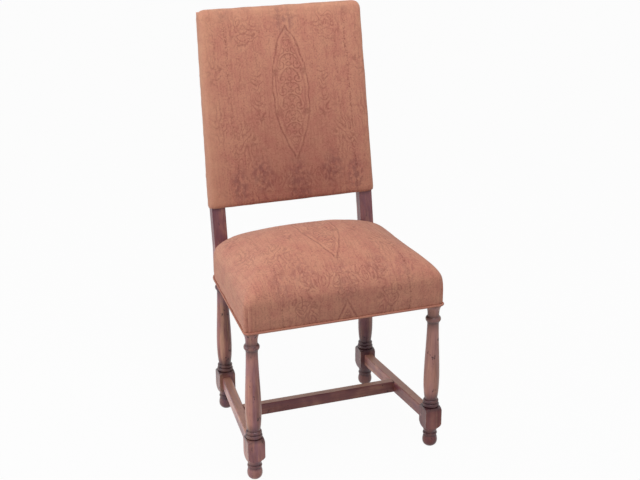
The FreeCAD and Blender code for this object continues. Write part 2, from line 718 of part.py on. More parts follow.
def seat_welt():
    """Covered cord under the lower edge of the seat cover, broken at the rear posts."""
    radius = WELT_DIAMETER / 2
    clear = radius + 2 * LAYER_GAP
    inset = min(SEAT_OVERHANG - TOP_HALF, SEAT_SIDE_ROOM) - clear
    middle = FRAME_BOTTOM + radius
    edges = seat_ring(middle, inset, LEG_TOP_CORNER + clear).OrderedEdges
    start = vec(0, inset - SEAT_OVERHANG, middle)
    front_left, front_right = [vertex.Point for vertex in edges[-1].Vertexes]
    right_half = Part.makeLine(start, front_right)
    left_half = Part.makeLine(front_left, start)
    route = Part.Wire([right_half] + edges[:-1] + [left_half])
    circle = Part.Wire(Part.makeCircle(radius, start, X_AXIS))
    welt = route.makePipeShell([circle], True, False)
    for slit in post_slits(POST_SLIT_CLEARANCE):
        welt = welt.cut(slit)
    return welt


def woven_strip(start, end, crossings, over_first):
    """Strip along +X, lifted over every other crossing; each crossing is its middle and half width."""
    lift = WEBBING_THICKNESS + LAYER_GAP
    levels = []
    for k, (middle, half) in enumerate(crossings):
        height = lift if (k % 2 == 0) == over_first else 0.0
        levels += [(middle - half, height), (middle + half, height)]
    line = [(start, 0.0)] + levels + [(end, 0.0)]
    points = [vec(x, 0, z) for x, z in line]
    points += [vec(x, 0, z + WEBBING_THICKNESS) for x, z in reversed(line)]
    wire = Part.makePolygon(points + points[:1])
    return moved(Part.Face(wire).extrude(vec(0, WEBBING_WIDTH, 0)), 0.0, -WEBBING_WIDTH / 2)


def spread(count, first, last):
    """Middles of equal strips spaced evenly between two limits."""
    pitch = (last - first) / count
    return [first + pitch * (k + 0.5) for k in range(count)]


def webbing(long_middles, cross_middles, long_ends, cross_ends):
    """Two interlaced sets of strips: one along +Y at the long middles, one along +X at the cross middles."""
    half = WEBBING_WIDTH / 2 + 2 * LAYER_GAP
    lengthwise = []
    for k, x in enumerate(long_middles):
        strip = woven_strip(long_ends[0], long_ends[1], [(y, half) for y in cross_middles], k % 2 == 0)
        strip.rotate(ORIGIN, Z_AXIS, 90)
        lengthwise.append(moved(strip, x))
    crosswise = []
    for k, y in enumerate(cross_middles):
        reach = cross_ends(y)
        strip = woven_strip(-reach, reach, [(x, half) for x in long_middles], k % 2 == 1)
        crosswise.append(moved(strip, 0.0, y))
    return Part.makeCompound(lengthwise), Part.makeCompound(crosswise)


def side_line(y):
    """Outer face of the right side rail at one depth."""
    return FRONT_X + TOP_HALF - math.tan(math.radians(SIDE_SLANT)) * y


def seat_webbing():
    front = RAIL_THICKNESS - TOP_HALF
    rear = REAR_Y - RAIL_THICKNESS / 2
    span = REAR_X - POST_HALF
    long_middles = spread(SEAT_WEBBING_LENGTHWISE_COUNT, -span, span)
    cross_middles = spread(SEAT_WEBBING_CROSSWISE_COUNT, front, REAR_Y - TOP_HALF)
    long_ends = (WEBBING_EDGE - TOP_HALF, rear + RAIL_THICKNESS - WEBBING_EDGE)

    def cross_reach(y):
        return side_line(y + WEBBING_WIDTH / 2) - WEBBING_EDGE

    sets = webbing(long_middles, cross_middles, long_ends, cross_reach)
    return [moved(strips, 0.0, 0.0, FRAME_TOP) for strips in sets]


def seat_hessian():
    low = FRAME_TOP + WEBBING_STACK + LAYER_GAP
    front = HESSIAN_EDGE - TOP_HALF
    rear = REAR_Y + RAIL_THICKNESS / 2 - HESSIAN_EDGE
    near = side_line(front) - HESSIAN_EDGE
    far = side_line(rear) - HESSIAN_EDGE
    sheet = prism([(near, front), (far, rear), (-far, rear), (-near, front)], low, low + HESSIAN_THICKNESS)
    for slit in post_slits(POST_SLIT_CLEARANCE):
        sheet = sheet.cut(slit)
    return sheet


def dust_cover():
    """Thin cloth under the seat frame, cut round the tops of the legs."""
    low = FRAME_BOTTOM - DUST_COVER_THICKNESS
    front = DUST_COVER_EDGE - TOP_HALF
    rear = REAR_Y + RAIL_THICKNESS / 2 - DUST_COVER_EDGE
    near = side_line(front) - DUST_COVER_EDGE
    far = side_line(rear) - DUST_COVER_EDGE
    cloth = prism([(near, front), (far, rear), (-far, rear), (-near, front)], low, FRAME_BOTTOM)
    for x, y in [(FRONT_X, 0), (REAR_X, REAR_Y), (-FRONT_X, 0), (-REAR_X, REAR_Y)]:
        cloth = cloth.cut(cylinder(BELL_RADIUS + BRACE_GAP, DUST_COVER_THICKNESS, vec(x, y, low), Z_AXIS))
    return cloth


def tack_places():
    """Plan places of the tacks along the four seat rails."""
    front_y = (RAIL_THICKNESS - LEG_TOP_SIDE / 2 - TOP_HALF) / 2
    places = []
    for half, y in [(FRONT_X - LEG_TOP_SIDE, front_y), (REAR_X - LEG_TOP_SIDE, REAR_Y)]:
        count = max(2, int(2 * half / TACK_PITCH) + 1)
        places += [(-half + 2 * half * k / (count - 1), y) for k in range(count)]
    first = 2 * LEG_TOP_SIDE
    last = REAR_Y - 2 * LEG_TOP_SIDE
    count = max(2, int((last - first) / TACK_PITCH) + 1)
    for k in range(count):
        y = first + (last - first) * k / (count - 1)
        x = side_line(y) - RAIL_THICKNESS / 2
        places += [(x, y), (-x, y)]
    return places


def tack(x, y):
    low = FRAME_BOTTOM - DUST_COVER_THICKNESS
    head = cylinder(TACK_HEAD_RADIUS, TACK_HEAD_HEIGHT, vec(x, y, low - TACK_HEAD_HEIGHT), Z_AXIS)
    return head.fuse(cylinder(TACK_SHANK_RADIUS, TACK_SHANK_LENGTH, vec(x, y, low), Z_AXIS)).removeSplitter()


def tack_hole(x, y):
    low = FRAME_BOTTOM - DUST_COVER_THICKNESS
    radius = TACK_SHANK_RADIUS + JOINT_CLEARANCE
    return cylinder(radius, TACK_SHANK_LENGTH + JOINT_CLEARANCE, vec(x, y, low), Z_AXIS)


# Back upholstery, drawn against the upright post front and then leaned back

def panel_ring(depth, inset):
    """Outline of the back panel at one depth behind the post fronts."""
    half = PANEL_HALF - inset
    high_half = half - PANEL_TAPER
    low = PANEL_START + inset
    high = PANEL_TOP - inset
    corners = [
        vec(half, depth, low),
        vec(high_half, depth, high),
        vec(-high_half, depth, high),
        vec(-half, depth, low),
    ]
    top = PANEL_TOP_CORNER + PANEL_CORNER_GROWTH * inset
    bottom = PANEL_BOTTOM_CORNER + PANEL_CORNER_GROWTH * inset
    return rounded_outline(corners, [bottom, top, top, bottom])


def panel_rise(inset):
    """Distance of the panel's front before its side edge, at an inset from the side."""
    roll = min(inset / PANEL_ROLL, 1.0)
    crown = math.sin(math.pi / 2 * min(inset / PANEL_CROWN_RUN, 1.0))
    return PANEL_ROLL * math.sqrt(1 - (1 - roll) ** 2) + PANEL_CROWN_HEIGHT * crown


def panel_form(skin, rear):
    """Back panel with rolled front edges and a low crown, lying inside the outer face by the skin."""
    edge = PANEL_ROLL - PANEL_FRONT_PAD
    rings = [panel_ring(depth, skin) for depth in (rear, (rear + edge) / 2, edge + skin)]
    for inset in dome_insets(PANEL_ROLL, PANEL_CROWN_RUN):
        rings.append(panel_ring(edge + skin - panel_rise(inset), inset + skin))
    return smooth_loft(rings)


def post_room(gap):
    """Room where both posts pass through the lower edge of the cover, drawn upright."""
    inner = REAR_X - POST_HALF - gap
    outer = REAR_X + POST_HALF + gap
    corner_top = PANEL_START + PANEL_BOTTOM_CORNER + 2 * COVER_THICKNESS
    right = box(inner, outer, -gap, POST_DEPTH + gap, 0, corner_top)
    return [right, mirrored(right)]


def back_cover():
    cover = panel_form(0.0, PANEL_REAR).cut(panel_form(COVER_THICKNESS, PANEL_REAR + OVERCUT))
    for room in post_room(POST_SLIT_CLEARANCE):
        cover = cover.cut(room)
    return raked(cover)


def outside_back():
    """Plain cloth panel that closes the rear of the back."""
    face = Part.Face(panel_ring(PANEL_REAR - COVER_THICKNESS, COVER_THICKNESS + PANEL_SEAM))
    return raked(face.extrude(vec(0, COVER_THICKNESS, 0)))


def back_padding():
    padding = panel_form(COVER_THICKNESS + SOFT_GAP, PANEL_REAR)
    front = -WEBBING_STACK - HESSIAN_THICKNESS - 2 * LAYER_GAP
    return raked(padding.cut(box(-FAR, FAR, front, FAR, -FAR, FAR)))


def laid_on_back(shape):
    """Takes a sheet drawn flat, with +Y up the back, to the front of the posts."""
    upright = shape.copy()
    upright.rotate(ORIGIN, X_AXIS, 90)
    return raked(upright)


def back_webbing():
    lower, upper = back_rail_bottoms()
    span = REAR_X - POST_HALF
    long_middles = spread(BACK_WEBBING_UPRIGHT_COUNT, -span, span)
    cross_middles = spread(BACK_WEBBING_CROSSWISE_COUNT, lower + BACK_RAIL_HEIGHT, upper)
    long_ends = (lower + WEBBING_EDGE, upper + BACK_RAIL_HEIGHT - WEBBING_EDGE)

    def cross_reach(y):
        return REAR_X + POST_HALF - PANEL_TAPER - WEBBING_EDGE

    sets = webbing(long_middles, cross_middles, long_ends, cross_reach)
    return [laid_on_back(strips) for strips in sets]


def back_hessian():
    half = REAR_X + POST_HALF - PANEL_TAPER - HESSIAN_EDGE
    low = back_rail_bottoms()[0] + HESSIAN_EDGE
    high = POST_TOP - HESSIAN_EDGE
    near = WEBBING_STACK + LAYER_GAP
    return laid_on_back(box(-half, half, low, high, near, near + HESSIAN_THICKNESS))


# The whole chair

def build():
    lower, upper = back_rail_bottoms()
    stretcher_pegs = both_sides(pegs(stretcher_peg_places()))
    rail_pegs = both_sides(pegs(rail_peg_places()))
    stretcher_peg_holes = pegs(stretcher_peg_places(), JOINT_CLEARANCE)
    rail_peg_holes = pegs(rail_peg_places(), JOINT_CLEARANCE)
    screw_holes = [screw_hole(seat, way) for seat, way in screw_places()]
    tack_holes = Part.makeCompound([tack_hole(x, y) for x, y in tack_places()])

    front_leg = turned_leg(FRONT_X, 0.0, moved(front_leg_top(), FRONT_X))
    rear_leg = turned_leg(REAR_X, REAR_Y, rear_post())
    mortises = [
        side_stretcher_tenon(JOINT_CLEARANCE),
        side_rail_tenon(JOINT_CLEARANCE),
        front_rail_tenon(JOINT_CLEARANCE),
        rear_rail_tenon(JOINT_CLEARANCE),
        back_rail_tenon(lower, JOINT_CLEARANCE),
        back_rail_tenon(upper, JOINT_CLEARANCE),
    ]
    leg_cuts = mortises + stretcher_peg_holes + rail_peg_holes
    front_leg = front_leg.cut(leg_cuts)
    rear_leg = rear_leg.cut(leg_cuts)

    stretcher = side_stretcher().cut(stretcher_peg_holes + [medial_tenon(JOINT_CLEARANCE)])
    side = side_rail().cut(rail_peg_holes + screw_holes + [tack_holes])
    rail_cuts = both_sides(rail_peg_holes + screw_holes) + [tack_holes]

    nodes = {
        "front_leg_right": front_leg,
        "front_leg_left": mirrored(front_leg),
        "rear_leg_right": rear_leg,
        "rear_leg_left": mirrored(rear_leg),
        "side_stretcher_right": stretcher,
        "side_stretcher_left": mirrored(stretcher),
        "medial_stretcher": medial_stretcher(),
        "stretcher_pegs": Part.makeCompound(stretcher_pegs),
        "front_seat_rail": front_rail().cut(rail_cuts),
        "rear_seat_rail": rear_rail().cut(rail_cuts),
        "side_seat_rail_right": side,
        "side_seat_rail_left": mirrored(side),
        "seat_rail_pegs": Part.makeCompound(rail_pegs),
        "back_top_rail": back_rail(upper),
        "back_bottom_rail": back_rail(lower),
    }
    for name, rear in [("front_corner_block", False), ("rear_corner_block", True)]:
        brace = corner_block(rear).cut(screw_holes)
        nodes[name + "_right"] = brace
        nodes[name + "_left"] = mirrored(brace)
    screws = [screw(seat, way) for seat, way in screw_places()]
    nodes["corner_block_screws"] = Part.makeCompound(both_sides(screws))
    nodes["seat_webbing_lengthwise"], nodes["seat_webbing_crosswise"] = seat_webbing()
    nodes["seat_hessian"] = seat_hessian()
    nodes["seat_padding"] = seat_padding()
    nodes["seat_cover"] = seat_cover()
    nodes["seat_welt"] = seat_welt()
    nodes["dust_cover"] = dust_cover().cut(tack_holes)
    nodes["dust_cover_tacks"] = Part.makeCompound([tack(x, y) for x, y in tack_places()])
    nodes["back_webbing_upright"], nodes["back_webbing_crosswise"] = back_webbing()
    nodes["back_hessian"] = back_hessian()
    nodes["back_padding"] = back_padding()
    nodes["back_cover"] = back_cover()
    nodes["outside_back_panel"] = outside_back()
    return nodes


def main():
    nodes = build()
    whole = Part.makeCompound(list(nodes.values())).optimalBoundingBox(False, False)
    os.makedirs("parts", exist_ok=True)
    for name, shape in nodes.items():
        placed = moved(shape, -whole.Center.x, -whole.Center.y, -whole.ZMin)
        placed.exportStep("parts/" + name + ".step")


main()
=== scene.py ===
import math
from collections import namedtuple

import bmesh
import bpy
from mathutils import Matrix, Vector, noise


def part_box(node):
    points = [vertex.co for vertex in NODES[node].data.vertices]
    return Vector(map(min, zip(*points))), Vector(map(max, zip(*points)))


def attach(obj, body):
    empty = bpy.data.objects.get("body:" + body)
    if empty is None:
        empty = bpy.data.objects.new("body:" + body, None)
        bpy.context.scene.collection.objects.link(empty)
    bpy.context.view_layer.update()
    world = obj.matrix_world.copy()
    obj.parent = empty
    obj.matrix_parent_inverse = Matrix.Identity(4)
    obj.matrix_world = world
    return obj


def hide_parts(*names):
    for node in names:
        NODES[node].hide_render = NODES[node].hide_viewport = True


# A side chair with turned walnut legs and a rose damask seat and back.
# Metres, in the frame of the CAD part. Sizes named here repeat those of part.py.

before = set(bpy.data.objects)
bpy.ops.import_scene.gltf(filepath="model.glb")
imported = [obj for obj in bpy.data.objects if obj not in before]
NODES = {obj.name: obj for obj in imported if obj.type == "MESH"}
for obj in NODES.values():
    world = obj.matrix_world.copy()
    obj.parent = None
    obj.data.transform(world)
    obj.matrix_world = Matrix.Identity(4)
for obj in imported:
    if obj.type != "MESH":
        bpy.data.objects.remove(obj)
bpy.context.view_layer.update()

# Legs, posts and the bend of the back; how deep the front leg axes lie comes from the frame
LEG_LOW, LEG_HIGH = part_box("front_leg_left")
AXIS_Y = (LEG_LOW.y + LEG_HIGH.y) / 2
FRONT_X = 0.2515
REAR_X = 0.218
REAR_Y = 0.402
TOP_HALF = 0.017
POST_HALF = 0.019
FRAME_BOTTOM = 0.421
BEND_Y = 0.385
BEND_Z = 0.463
RAKE = math.radians(10.3)

# Seat cushion
SEAT_OVERHANG = 0.021
SEAT_FRONT_HALF = 0.27303
SEAT_REAR_HALF = 0.247
SEAT_FRONT_CORNER = 0.014
SEAT_REAR_CORNER = 0.0719
SEAT_BOTTOM = 0.4225
SEAT_SIDE_HEIGHT = 0.0746
SEAT_SIDE_SWELL = 0.001
SEAT_ROLL_RUN = 0.040
SEAT_ROLL_HEIGHT = 0.026
SEAT_CROWN_RUN = 0.182
SEAT_CROWN_HEIGHT = 0.058
SEAT_HIP_GROWTH = 0.6
SEAT_HIP_LIMIT = 0.8
SEAT_DEPTH = REAR_Y + 2 * SEAT_OVERHANG
SEAT_TAPER = (SEAT_FRONT_HALF - SEAT_REAR_HALF) / SEAT_DEPTH
SEAT_EDGE = SEAT_BOTTOM + SEAT_SIDE_HEIGHT
WELT_RADIUS = 0.003
WELT_INSET = -0.0009
WELT_CORNER = 0.0132
NOTCH_GAP = 0.0008
NOTCH_X = REAR_X - POST_HALF - NOTCH_GAP
NOTCH_Y = REAR_Y - TOP_HALF - NOTCH_GAP
NOTCH_FOOT, NOTCH_TOP = 0.40, 0.62
NOTCH_REAR, NOTCH_SIDE = 0.50, 0.32

# Back pad
PANEL_START = 0.1485
PANEL_HEIGHT = 0.541
PANEL_HALF = 0.243
PANEL_TAPER = 0.010
PANEL_EDGE = 0.002
PANEL_REAR = 0.0312
PANEL_WALL = (0.024, 0.016, 0.008)
PANEL_ROLL = 0.012
PANEL_CROWN_RUN = 0.150
PANEL_CROWN_HEIGHT = 0.005
PANEL_TOP_CORNER = 0.018
PANEL_BOTTOM_CORNER = 0.006
PANEL_CORNER_GROWTH = 0.4
OUTSIDE_EDGE = 0.004
OUTSIDE_TURN = 0.0022
OUTSIDE_SUNK = 0.0008
OUTSIDE_HOLLOW = 0.0014
OUTSIDE_PULL, OUTSIDE_PULL_REACH = 0.0007, 0.03
OUTSIDE_THICKNESS = 0.0012

# Cloth under the seat
DUST_INSET = 0.008
DUST_REAR = 0.004
DUST_GAP = 0.0002
DUST_EDGE = 0.020
DUST_SAG = 0.006
DUST_SAG_RUN = 0.12
DUST_THICKNESS = 0.0007
LEG_HOLE = 0.0228
LEG_HOLE_HEIGHTS = (0.40, 0.43)

# How the soft pieces are made
CLOTH_MAP = "cloth"
VOXEL = 0.005
SIM_FRAMES = 20
ARC_STEPS = 8
SIDE_STEPS = 16
STEEP = 0.6
BIAS = 0.7
PAD_SHRINK = 0.0025
SHRINK_SHARE = 0.25
SEAT_SMOOTHING, SEAT_PRESSURE, SEAT_SWELL = 4, 4.0, 0.006
SEAT_NAILED, SEAT_NAILED_FADE = 0.004, 0.014
SEAT_NAILED_SIDE, SEAT_NAILED_FRONT = 0.008, 0.010
SEAT_PLUMP = 0.008
SEAT_PLUMP_Y = 0.23
SEAT_PLUMP_WIDTH, SEAT_PLUMP_DEPTH = 0.20, 0.15
SEAT_PULL, SEAT_PULL_LEAST, SEAT_PULL_REACH = 0.0010, 0.9, 0.030
SEAT_LUMPS, SEAT_SMALL_LUMPS = 0.0016, 0.0005
PLEAT_INSET = 0.008
PLEAT_DEPTH = 0.0034
PLEAT_WIDTH = 0.0026
PLEAT_RISE, PLEAT_FADE = 0.060, 0.030
FOLD_SHARE, FOLD_OFFSET, FOLD_WIDTH = 0.4, 0.005, 0.003
BACK_SHRINK = 0.0012
BACK_SMOOTHING, BACK_PRESSURE, BACK_SWELL = 2, 2.0, 0.0035
BACK_NAILED, BACK_NAILED_FADE, BACK_NAILED_FOOT = 0.012, 0.012, 0.003
BACK_LUMPS, BACK_SMALL_LUMPS, BACK_LUMPS_EDGE = 0.0013, 0.0005, 0.03
BACK_PULL, BACK_PULL_REACH = 0.0009, 0.025

# Where the damask lies on the seat, and how far it is off the middle and leans on the back
SEAT_CLOTH_START = -0.062
BACK_CLOTH_SHIFT = 0.0098
BACK_CLOTH_LEAN = -0.03

# Camera, fitted to the photograph
CAMERA_AZIMUTH = math.radians(-19.47)
CAMERA_ELEVATION = math.radians(20.73)
CAMERA_ROLL = math.radians(-0.29)
CAMERA_DISTANCE = 3.301
CAMERA_LENS = 69.24
CAMERA_TARGET = Vector((0.003, AXIS_Y + 0.1966, 0.5642))
CAMERA_SENSOR = 36.0

# Light: name, place, size, power and colour of each lamp
LIGHT_AIM = Vector((0.0, -0.05, 0.65))
LIGHTS = [
    ("window", (-2.4, 0.20, 1.05), 1.4, 18.0, (0.96, 1.0, 1.03)),
    ("ceiling", (0.1, -0.80, 2.35), 0.9, 18.0, (1.0, 0.98, 0.96)),
]
AMBIENT = 0.50
AMBIENT_SLOPE = 0.40
FLOOR_HALF = 30.0
FLOOR_GLOW = 0.96
FLOOR_GREY = 0.60


def placed(x, y, z):
    """A point of the part's drawing, measured from the front leg axes, in the frame."""
    return Vector((x, y + AXIS_Y, z))


def raked(x, depth, rise):
    """A point of the leaning back, by its depth behind the post fronts and its rise from the bend."""
    y = BEND_Y + depth * math.cos(RAKE) + rise * math.sin(RAKE)
    z = BEND_Z - depth * math.sin(RAKE) + rise * math.cos(RAKE)
    return placed(x, y, z)


def unraked(point):
    """The depth and rise on the leaning back of a point in the frame."""
    y = point.y - AXIS_Y - BEND_Y
    z = point.z - BEND_Z
    return y * math.cos(RAKE) - z * math.sin(RAKE), y * math.sin(RAKE) + z * math.cos(RAKE)


# Node trees

def feed(tree, socket, value):
    """Gives a socket a number, a colour, a wire or another socket."""
    if isinstance(value, Wire):
        value = value.socket
    if isinstance(value, bpy.types.NodeSocket):
        tree.links.new(value, socket)
    else:
        socket.default_value = value


def split(tree, socket):
    """The three numbers of a vector."""
    node = tree.nodes.new("ShaderNodeSeparateXYZ")
    tree.links.new(socket, node.inputs[0])
    return [Wire(tree, node.outputs[k]) for k in range(3)]


class Wire:
    """A number in a material's node tree; arithmetic on it adds the nodes that work it out."""

    def __init__(self, tree, socket):
        self.tree = tree
        self.socket = socket

    def math(self, operation, *others):
        node = self.tree.nodes.new("ShaderNodeMath")
        node.operation = operation
        for k, value in enumerate((self,) + others):
            feed(self.tree, node.inputs[k], value)
        return Wire(self.tree, node.outputs[0])

    def __add__(self, other):
        return self.math("ADD", other)

    def __sub__(self, other):
        return self.math("SUBTRACT", other)

    def __mul__(self, other):
        return self.math("MULTIPLY", other)

    def __truediv__(self, other):
        return self.math("DIVIDE", other)

    def __abs__(self):
        return self.math("ABSOLUTE")

    def most(self, other):
        return self.math("MAXIMUM", other)

    def below(self, limit, soft):
        """1 below the limit, fading to 0 over a soft width."""
        return self.between(limit + soft / 2, limit - soft / 2)

    def between(self, zero, one):
        """Smooth step from 0 to 1 between two values."""
        node = self.tree.nodes.new("ShaderNodeMapRange")
        node.interpolation_type = "SMOOTHSTEP"
        self.tree.links.new(self.socket, node.inputs["Value"])
        node.inputs["From Min"].default_value = min(zero, one)
        node.inputs["From Max"].default_value = max(zero, one)
        node.inputs["To Min"].default_value = 0.0 if zero < one else 1.0
        node.inputs["To Max"].default_value = 1.0 if zero < one else 0.0
        return Wire(self.tree, node.outputs["Result"])

    def band(self, half_width, soft):
        """1 within the half width of zero."""
        return abs(self).below(half_width, soft)

    def wrapped(self, half):
        """The value folded into one repeat, from minus half to half."""
        return self.math("WRAP", half, -half)


def length(a, b):
    return (a * a + b * b).math("SQRT")


def strongest(wires):
    """The largest of several numbers."""
    total, *others = wires
    for wire in others:
        total = total.most(wire)
    return total


class Paint:
    """A new node material with one Principled shader."""

    def __init__(self, name, roughness=0.6, specular=0.5):
        self.material = bpy.data.materials.new(name)
        self.material.use_nodes = True
        self.tree = self.material.node_tree
        self.shader = self.tree.nodes["Principled BSDF"]
        self.shader.inputs["Roughness"].default_value = roughness
        self.shader.inputs["Specular IOR Level"].default_value = specular

    def fixed(self, **sockets):
        for name, value in sockets.items():
            self.shader.inputs[name.replace("_", " ")].default_value = value

    def join(self, socket, name):
        self.tree.links.new(socket, self.shader.inputs[name])

    def place(self):
        """Object coordinates as three numbers, in metres."""
        coordinates = self.tree.nodes.new("ShaderNodeTexCoord")
        return split(self.tree, coordinates.outputs["Object"])

    def cloth_place(self):
        """Place on the cloth across and along, in millimetres."""
        coordinates = self.tree.nodes.new("ShaderNodeUVMap")
        coordinates.uv_map = CLOTH_MAP
        across, along, _ = split(self.tree, coordinates.outputs["UV"])
        return across * 1000.0, along * 1000.0

    def facing_up(self):
        """How far the surface faces up, from -1 to 1."""
        coordinates = self.tree.nodes.new("ShaderNodeTexCoord")
        return split(self.tree, coordinates.outputs["Normal"])[2]

    def noise(self, x, y, z=0.0, detail=2.0, rough=0.5, distortion=0.0):
        """Noise over coordinates that are already scaled."""
        join = self.tree.nodes.new("ShaderNodeCombineXYZ")
        for k, value in enumerate((x, y, z)):
            feed(self.tree, join.inputs[k], value)
        node = self.tree.nodes.new("ShaderNodeTexNoise")
        self.tree.links.new(join.outputs[0], node.inputs["Vector"])
        node.inputs["Scale"].default_value = 1.0
        node.inputs["Detail"].default_value = detail
        node.inputs["Roughness"].default_value = rough
        node.inputs["Distortion"].default_value = distortion
        return Wire(self.tree, node.outputs["Fac"])

    def mix(self, factor, first, second):
        """A colour between two; each is a colour or a socket."""
        node = self.tree.nodes.new("ShaderNodeMix")
        node.data_type = "RGBA"
        self.tree.links.new(factor.socket, node.inputs["Factor"])
        feed(self.tree, node.inputs[6], first)
        feed(self.tree, node.inputs[7], second)
        return node.outputs[2]

    def curve(self, value, stops):
        """A number read off a line through the stops."""
        node = self.tree.nodes.new("ShaderNodeValToRGB")
        self.tree.links.new(value.socket, node.inputs[0])
        elements = node.color_ramp.elements
        while len(elements) < len(stops):
            elements.new(0.5)
        for element, (position, level) in zip(elements, stops):
            element.position = position
            element.color = (level, level, level, 1.0)
        return Wire(self.tree, node.outputs["Color"])

    def bump(self, height, distance, strength=1.0):
        node = self.tree.nodes.new("ShaderNodeBump")
        node.inputs["Strength"].default_value = strength
        node.inputs["Distance"].default_value = distance
        self.tree.links.new(height.socket, node.inputs["Height"])
        self.join(node.outputs[0], "Normal")


def srgb(red, green, blue):
    """A screen colour, 0 to 255, as the linear colour that Blender mixes."""
    linear = []
    for value in (red, green, blue):
        share = value / 255
        linear.append(share / 12.92 if share <= 0.04045 else ((share + 0.055) / 1.055) ** 2.4)
    return (*linear, 1.0)


# Walnut

WALNUT = srgb(194, 132, 120)
WALNUT_TAN = srgb(216, 162, 134)
WALNUT_DARK = srgb(120, 70, 68)
WALNUT_PLUM = srgb(146, 98, 116)
WALNUT_POST = srgb(92, 54, 68)
WALNUT_RED = srgb(96, 30, 32)
# Dark of grime, pores and dents, and also of the painted shade in the hollows of the turned legs
WALNUT_GRIME_AND_SHADE = srgb(44, 32, 42)

# Height in metres and strength of the painted shade in the hollows of a turned leg
LEG_RECESS_SHADE = [
    (0.000, 0.65), (0.008, 0.25), (0.026, 0.20), (0.033, 0.95), (0.037, 0.60), (0.042, 0.95), (0.050, 0.40),
    (0.060, 0.08), (0.108, 0.12), (0.119, 0.95), (0.124, 0.78), (0.131, 1.00), (0.136, 0.80), (0.141, 1.00),
    (0.149, 0.62), (0.166, 0.05), (0.345, 0.05), (0.364, 0.55), (0.371, 0.95), (0.379, 0.50), (0.387, 0.95),
    (0.396, 0.40), (0.410, 0.12), (0.418, 0.35), (0.421, 0.85), (0.428, 0.10), (0.470, 0.00),
]
LEG_RECESS_TOP = 0.5

# A part of a piece whose wood has gone another colour, along an axis from a start to an end in metres
Tint = namedtuple("Tint", "colour strength axis start end")


def walnut(name, grain, turned=False, tints=()):
    """Old polished walnut with its grain along one axis; a turned leg gets painted shade in its hollows.

    Square pieces get painted light on their upward faces."""
    paint = Paint(name, specular=0.35)
    place = paint.place()
    across = [place[k] for k in range(3) if k != grain]
    along = place[grain]
    figure = paint.noise(across[0] * 36.0, across[1] * 36.0, along * 5.0, 4.0, 0.55, 0.5)
    bands = paint.noise(across[0] * 82.0, across[1] * 82.0, along * 4.0, 2.0, 0.5)
    streaks = paint.noise(across[0] * 260.0, across[1] * 260.0, along * 10.0, 3.0, 0.6)
    pores = paint.noise(across[0] * 900.0, across[1] * 900.0, along * 42.0, 2.0, 0.6)
    clouds = paint.noise(place[0] * 19.0, place[1] * 19.0, place[2] * 14.0, 3.0)
    marks = paint.noise(place[0] * 75.0, place[1] * 75.0, place[2] * 48.0, 3.0, 0.65)

    colour = paint.mix(figure.between(0.38, 0.70), WALNUT, WALNUT_DARK)
    colour = paint.mix(bands.between(0.50, 0.68) * 0.70, colour, WALNUT_TAN)
    colour = paint.mix(bands.between(0.46, 0.30) * 0.60, colour, WALNUT_PLUM)
    colour = paint.mix(streaks.between(0.52, 0.76) * 0.30, colour, WALNUT_TAN)
    colour = paint.mix(clouds.between(0.42, 0.68) * 0.50, colour, WALNUT_PLUM)
    patches = clouds.between(0.25, 0.60) * 0.4 + 0.6
    for tint in tints:
        share = place[tint.axis].between(tint.start, tint.end) * patches * tint.strength
        colour = paint.mix(share, colour, tint.colour)
    colour = paint.mix(streaks.between(0.46, 0.26) * 0.40, colour, WALNUT_DARK)
    colour = paint.mix(pores.between(0.60, 0.72) * 0.40, colour, WALNUT_GRIME_AND_SHADE)
    dents = marks.between(0.63, 0.70)
    colour = paint.mix(dents * 0.80, colour, WALNUT_GRIME_AND_SHADE)
    if turned:
        # Painted shade: the hollows of the turning darkened by height, mottled by the clouds
        stops = [(z / LEG_RECESS_TOP, level) for z, level in LEG_RECESS_SHADE]
        recess_shade = paint.curve(place[2] / LEG_RECESS_TOP, stops)
        colour = paint.mix(recess_shade * (clouds * 0.5 + 0.48), colour, WALNUT_GRIME_AND_SHADE)
    else:
        # Painted light: faces that point up are made lighter and tan
        colour = paint.mix(paint.facing_up().between(0.70, 0.95) * 0.45, colour, WALNUT_TAN)
    paint.join(colour, "Base Color")
    paint.join((pores * 0.16 + dents * 0.25 + clouds * 0.18 + 0.20).socket, "Roughness")
    paint.bump(streaks * 0.35 - pores.between(0.58, 0.74) * 0.6 - dents, 0.0006, 0.55)
    paint.fixed(Coat_Weight=0.12, Coat_Roughness=0.22)
    return paint.material


def frame_beech():
    """Plain beech of the hidden seat and back frame, with its short dark flecks."""
    paint = Paint("frame_beech", 0.65)
    x, y, z = paint.place()
    figure = paint.noise(x * 14.0, y * 30.0, z * 60.0, 3.0)
    flecks = paint.noise(x * 160.0, y * 420.0, z * 420.0, 2.0)
    colour = paint.mix(figure, srgb(196, 158, 116), srgb(168, 126, 86))
    colour = paint.mix(flecks.between(0.58, 0.70) * 0.5, colour, srgb(128, 88, 56))
    paint.join(colour, "Base Color")
    paint.join((figure * 0.2 + 0.5).socket, "Roughness")
    paint.bump(flecks, 0.0003, 0.4)
    return paint.material


def plain_weave(name, light, dark, pitch, depth):
    """Open plain weave of two thread colours, laid by object coordinates."""
    paint = Paint(name, 0.9, 0.2)
    x, y, z = paint.place()
    turn = 2 * math.pi / pitch
    warp = (x * turn).math("SINE")
    weft = ((y + z) * turn).math("SINE")
    threads = (warp * weft) * 0.5 + 0.5
    slubs = paint.noise(x * 180.0, y * 60.0, z * 60.0, 3.0, 0.6)
    colour = paint.mix(threads, dark, light)
    colour = paint.mix(slubs.between(0.40, 0.70) * 0.5, colour, dark)
    paint.join(colour, "Base Color")
    paint.join((slubs * 0.2 + 0.75).socket, "Roughness")
    paint.bump(threads + slubs * 0.4, depth, 0.7)
    return paint.material


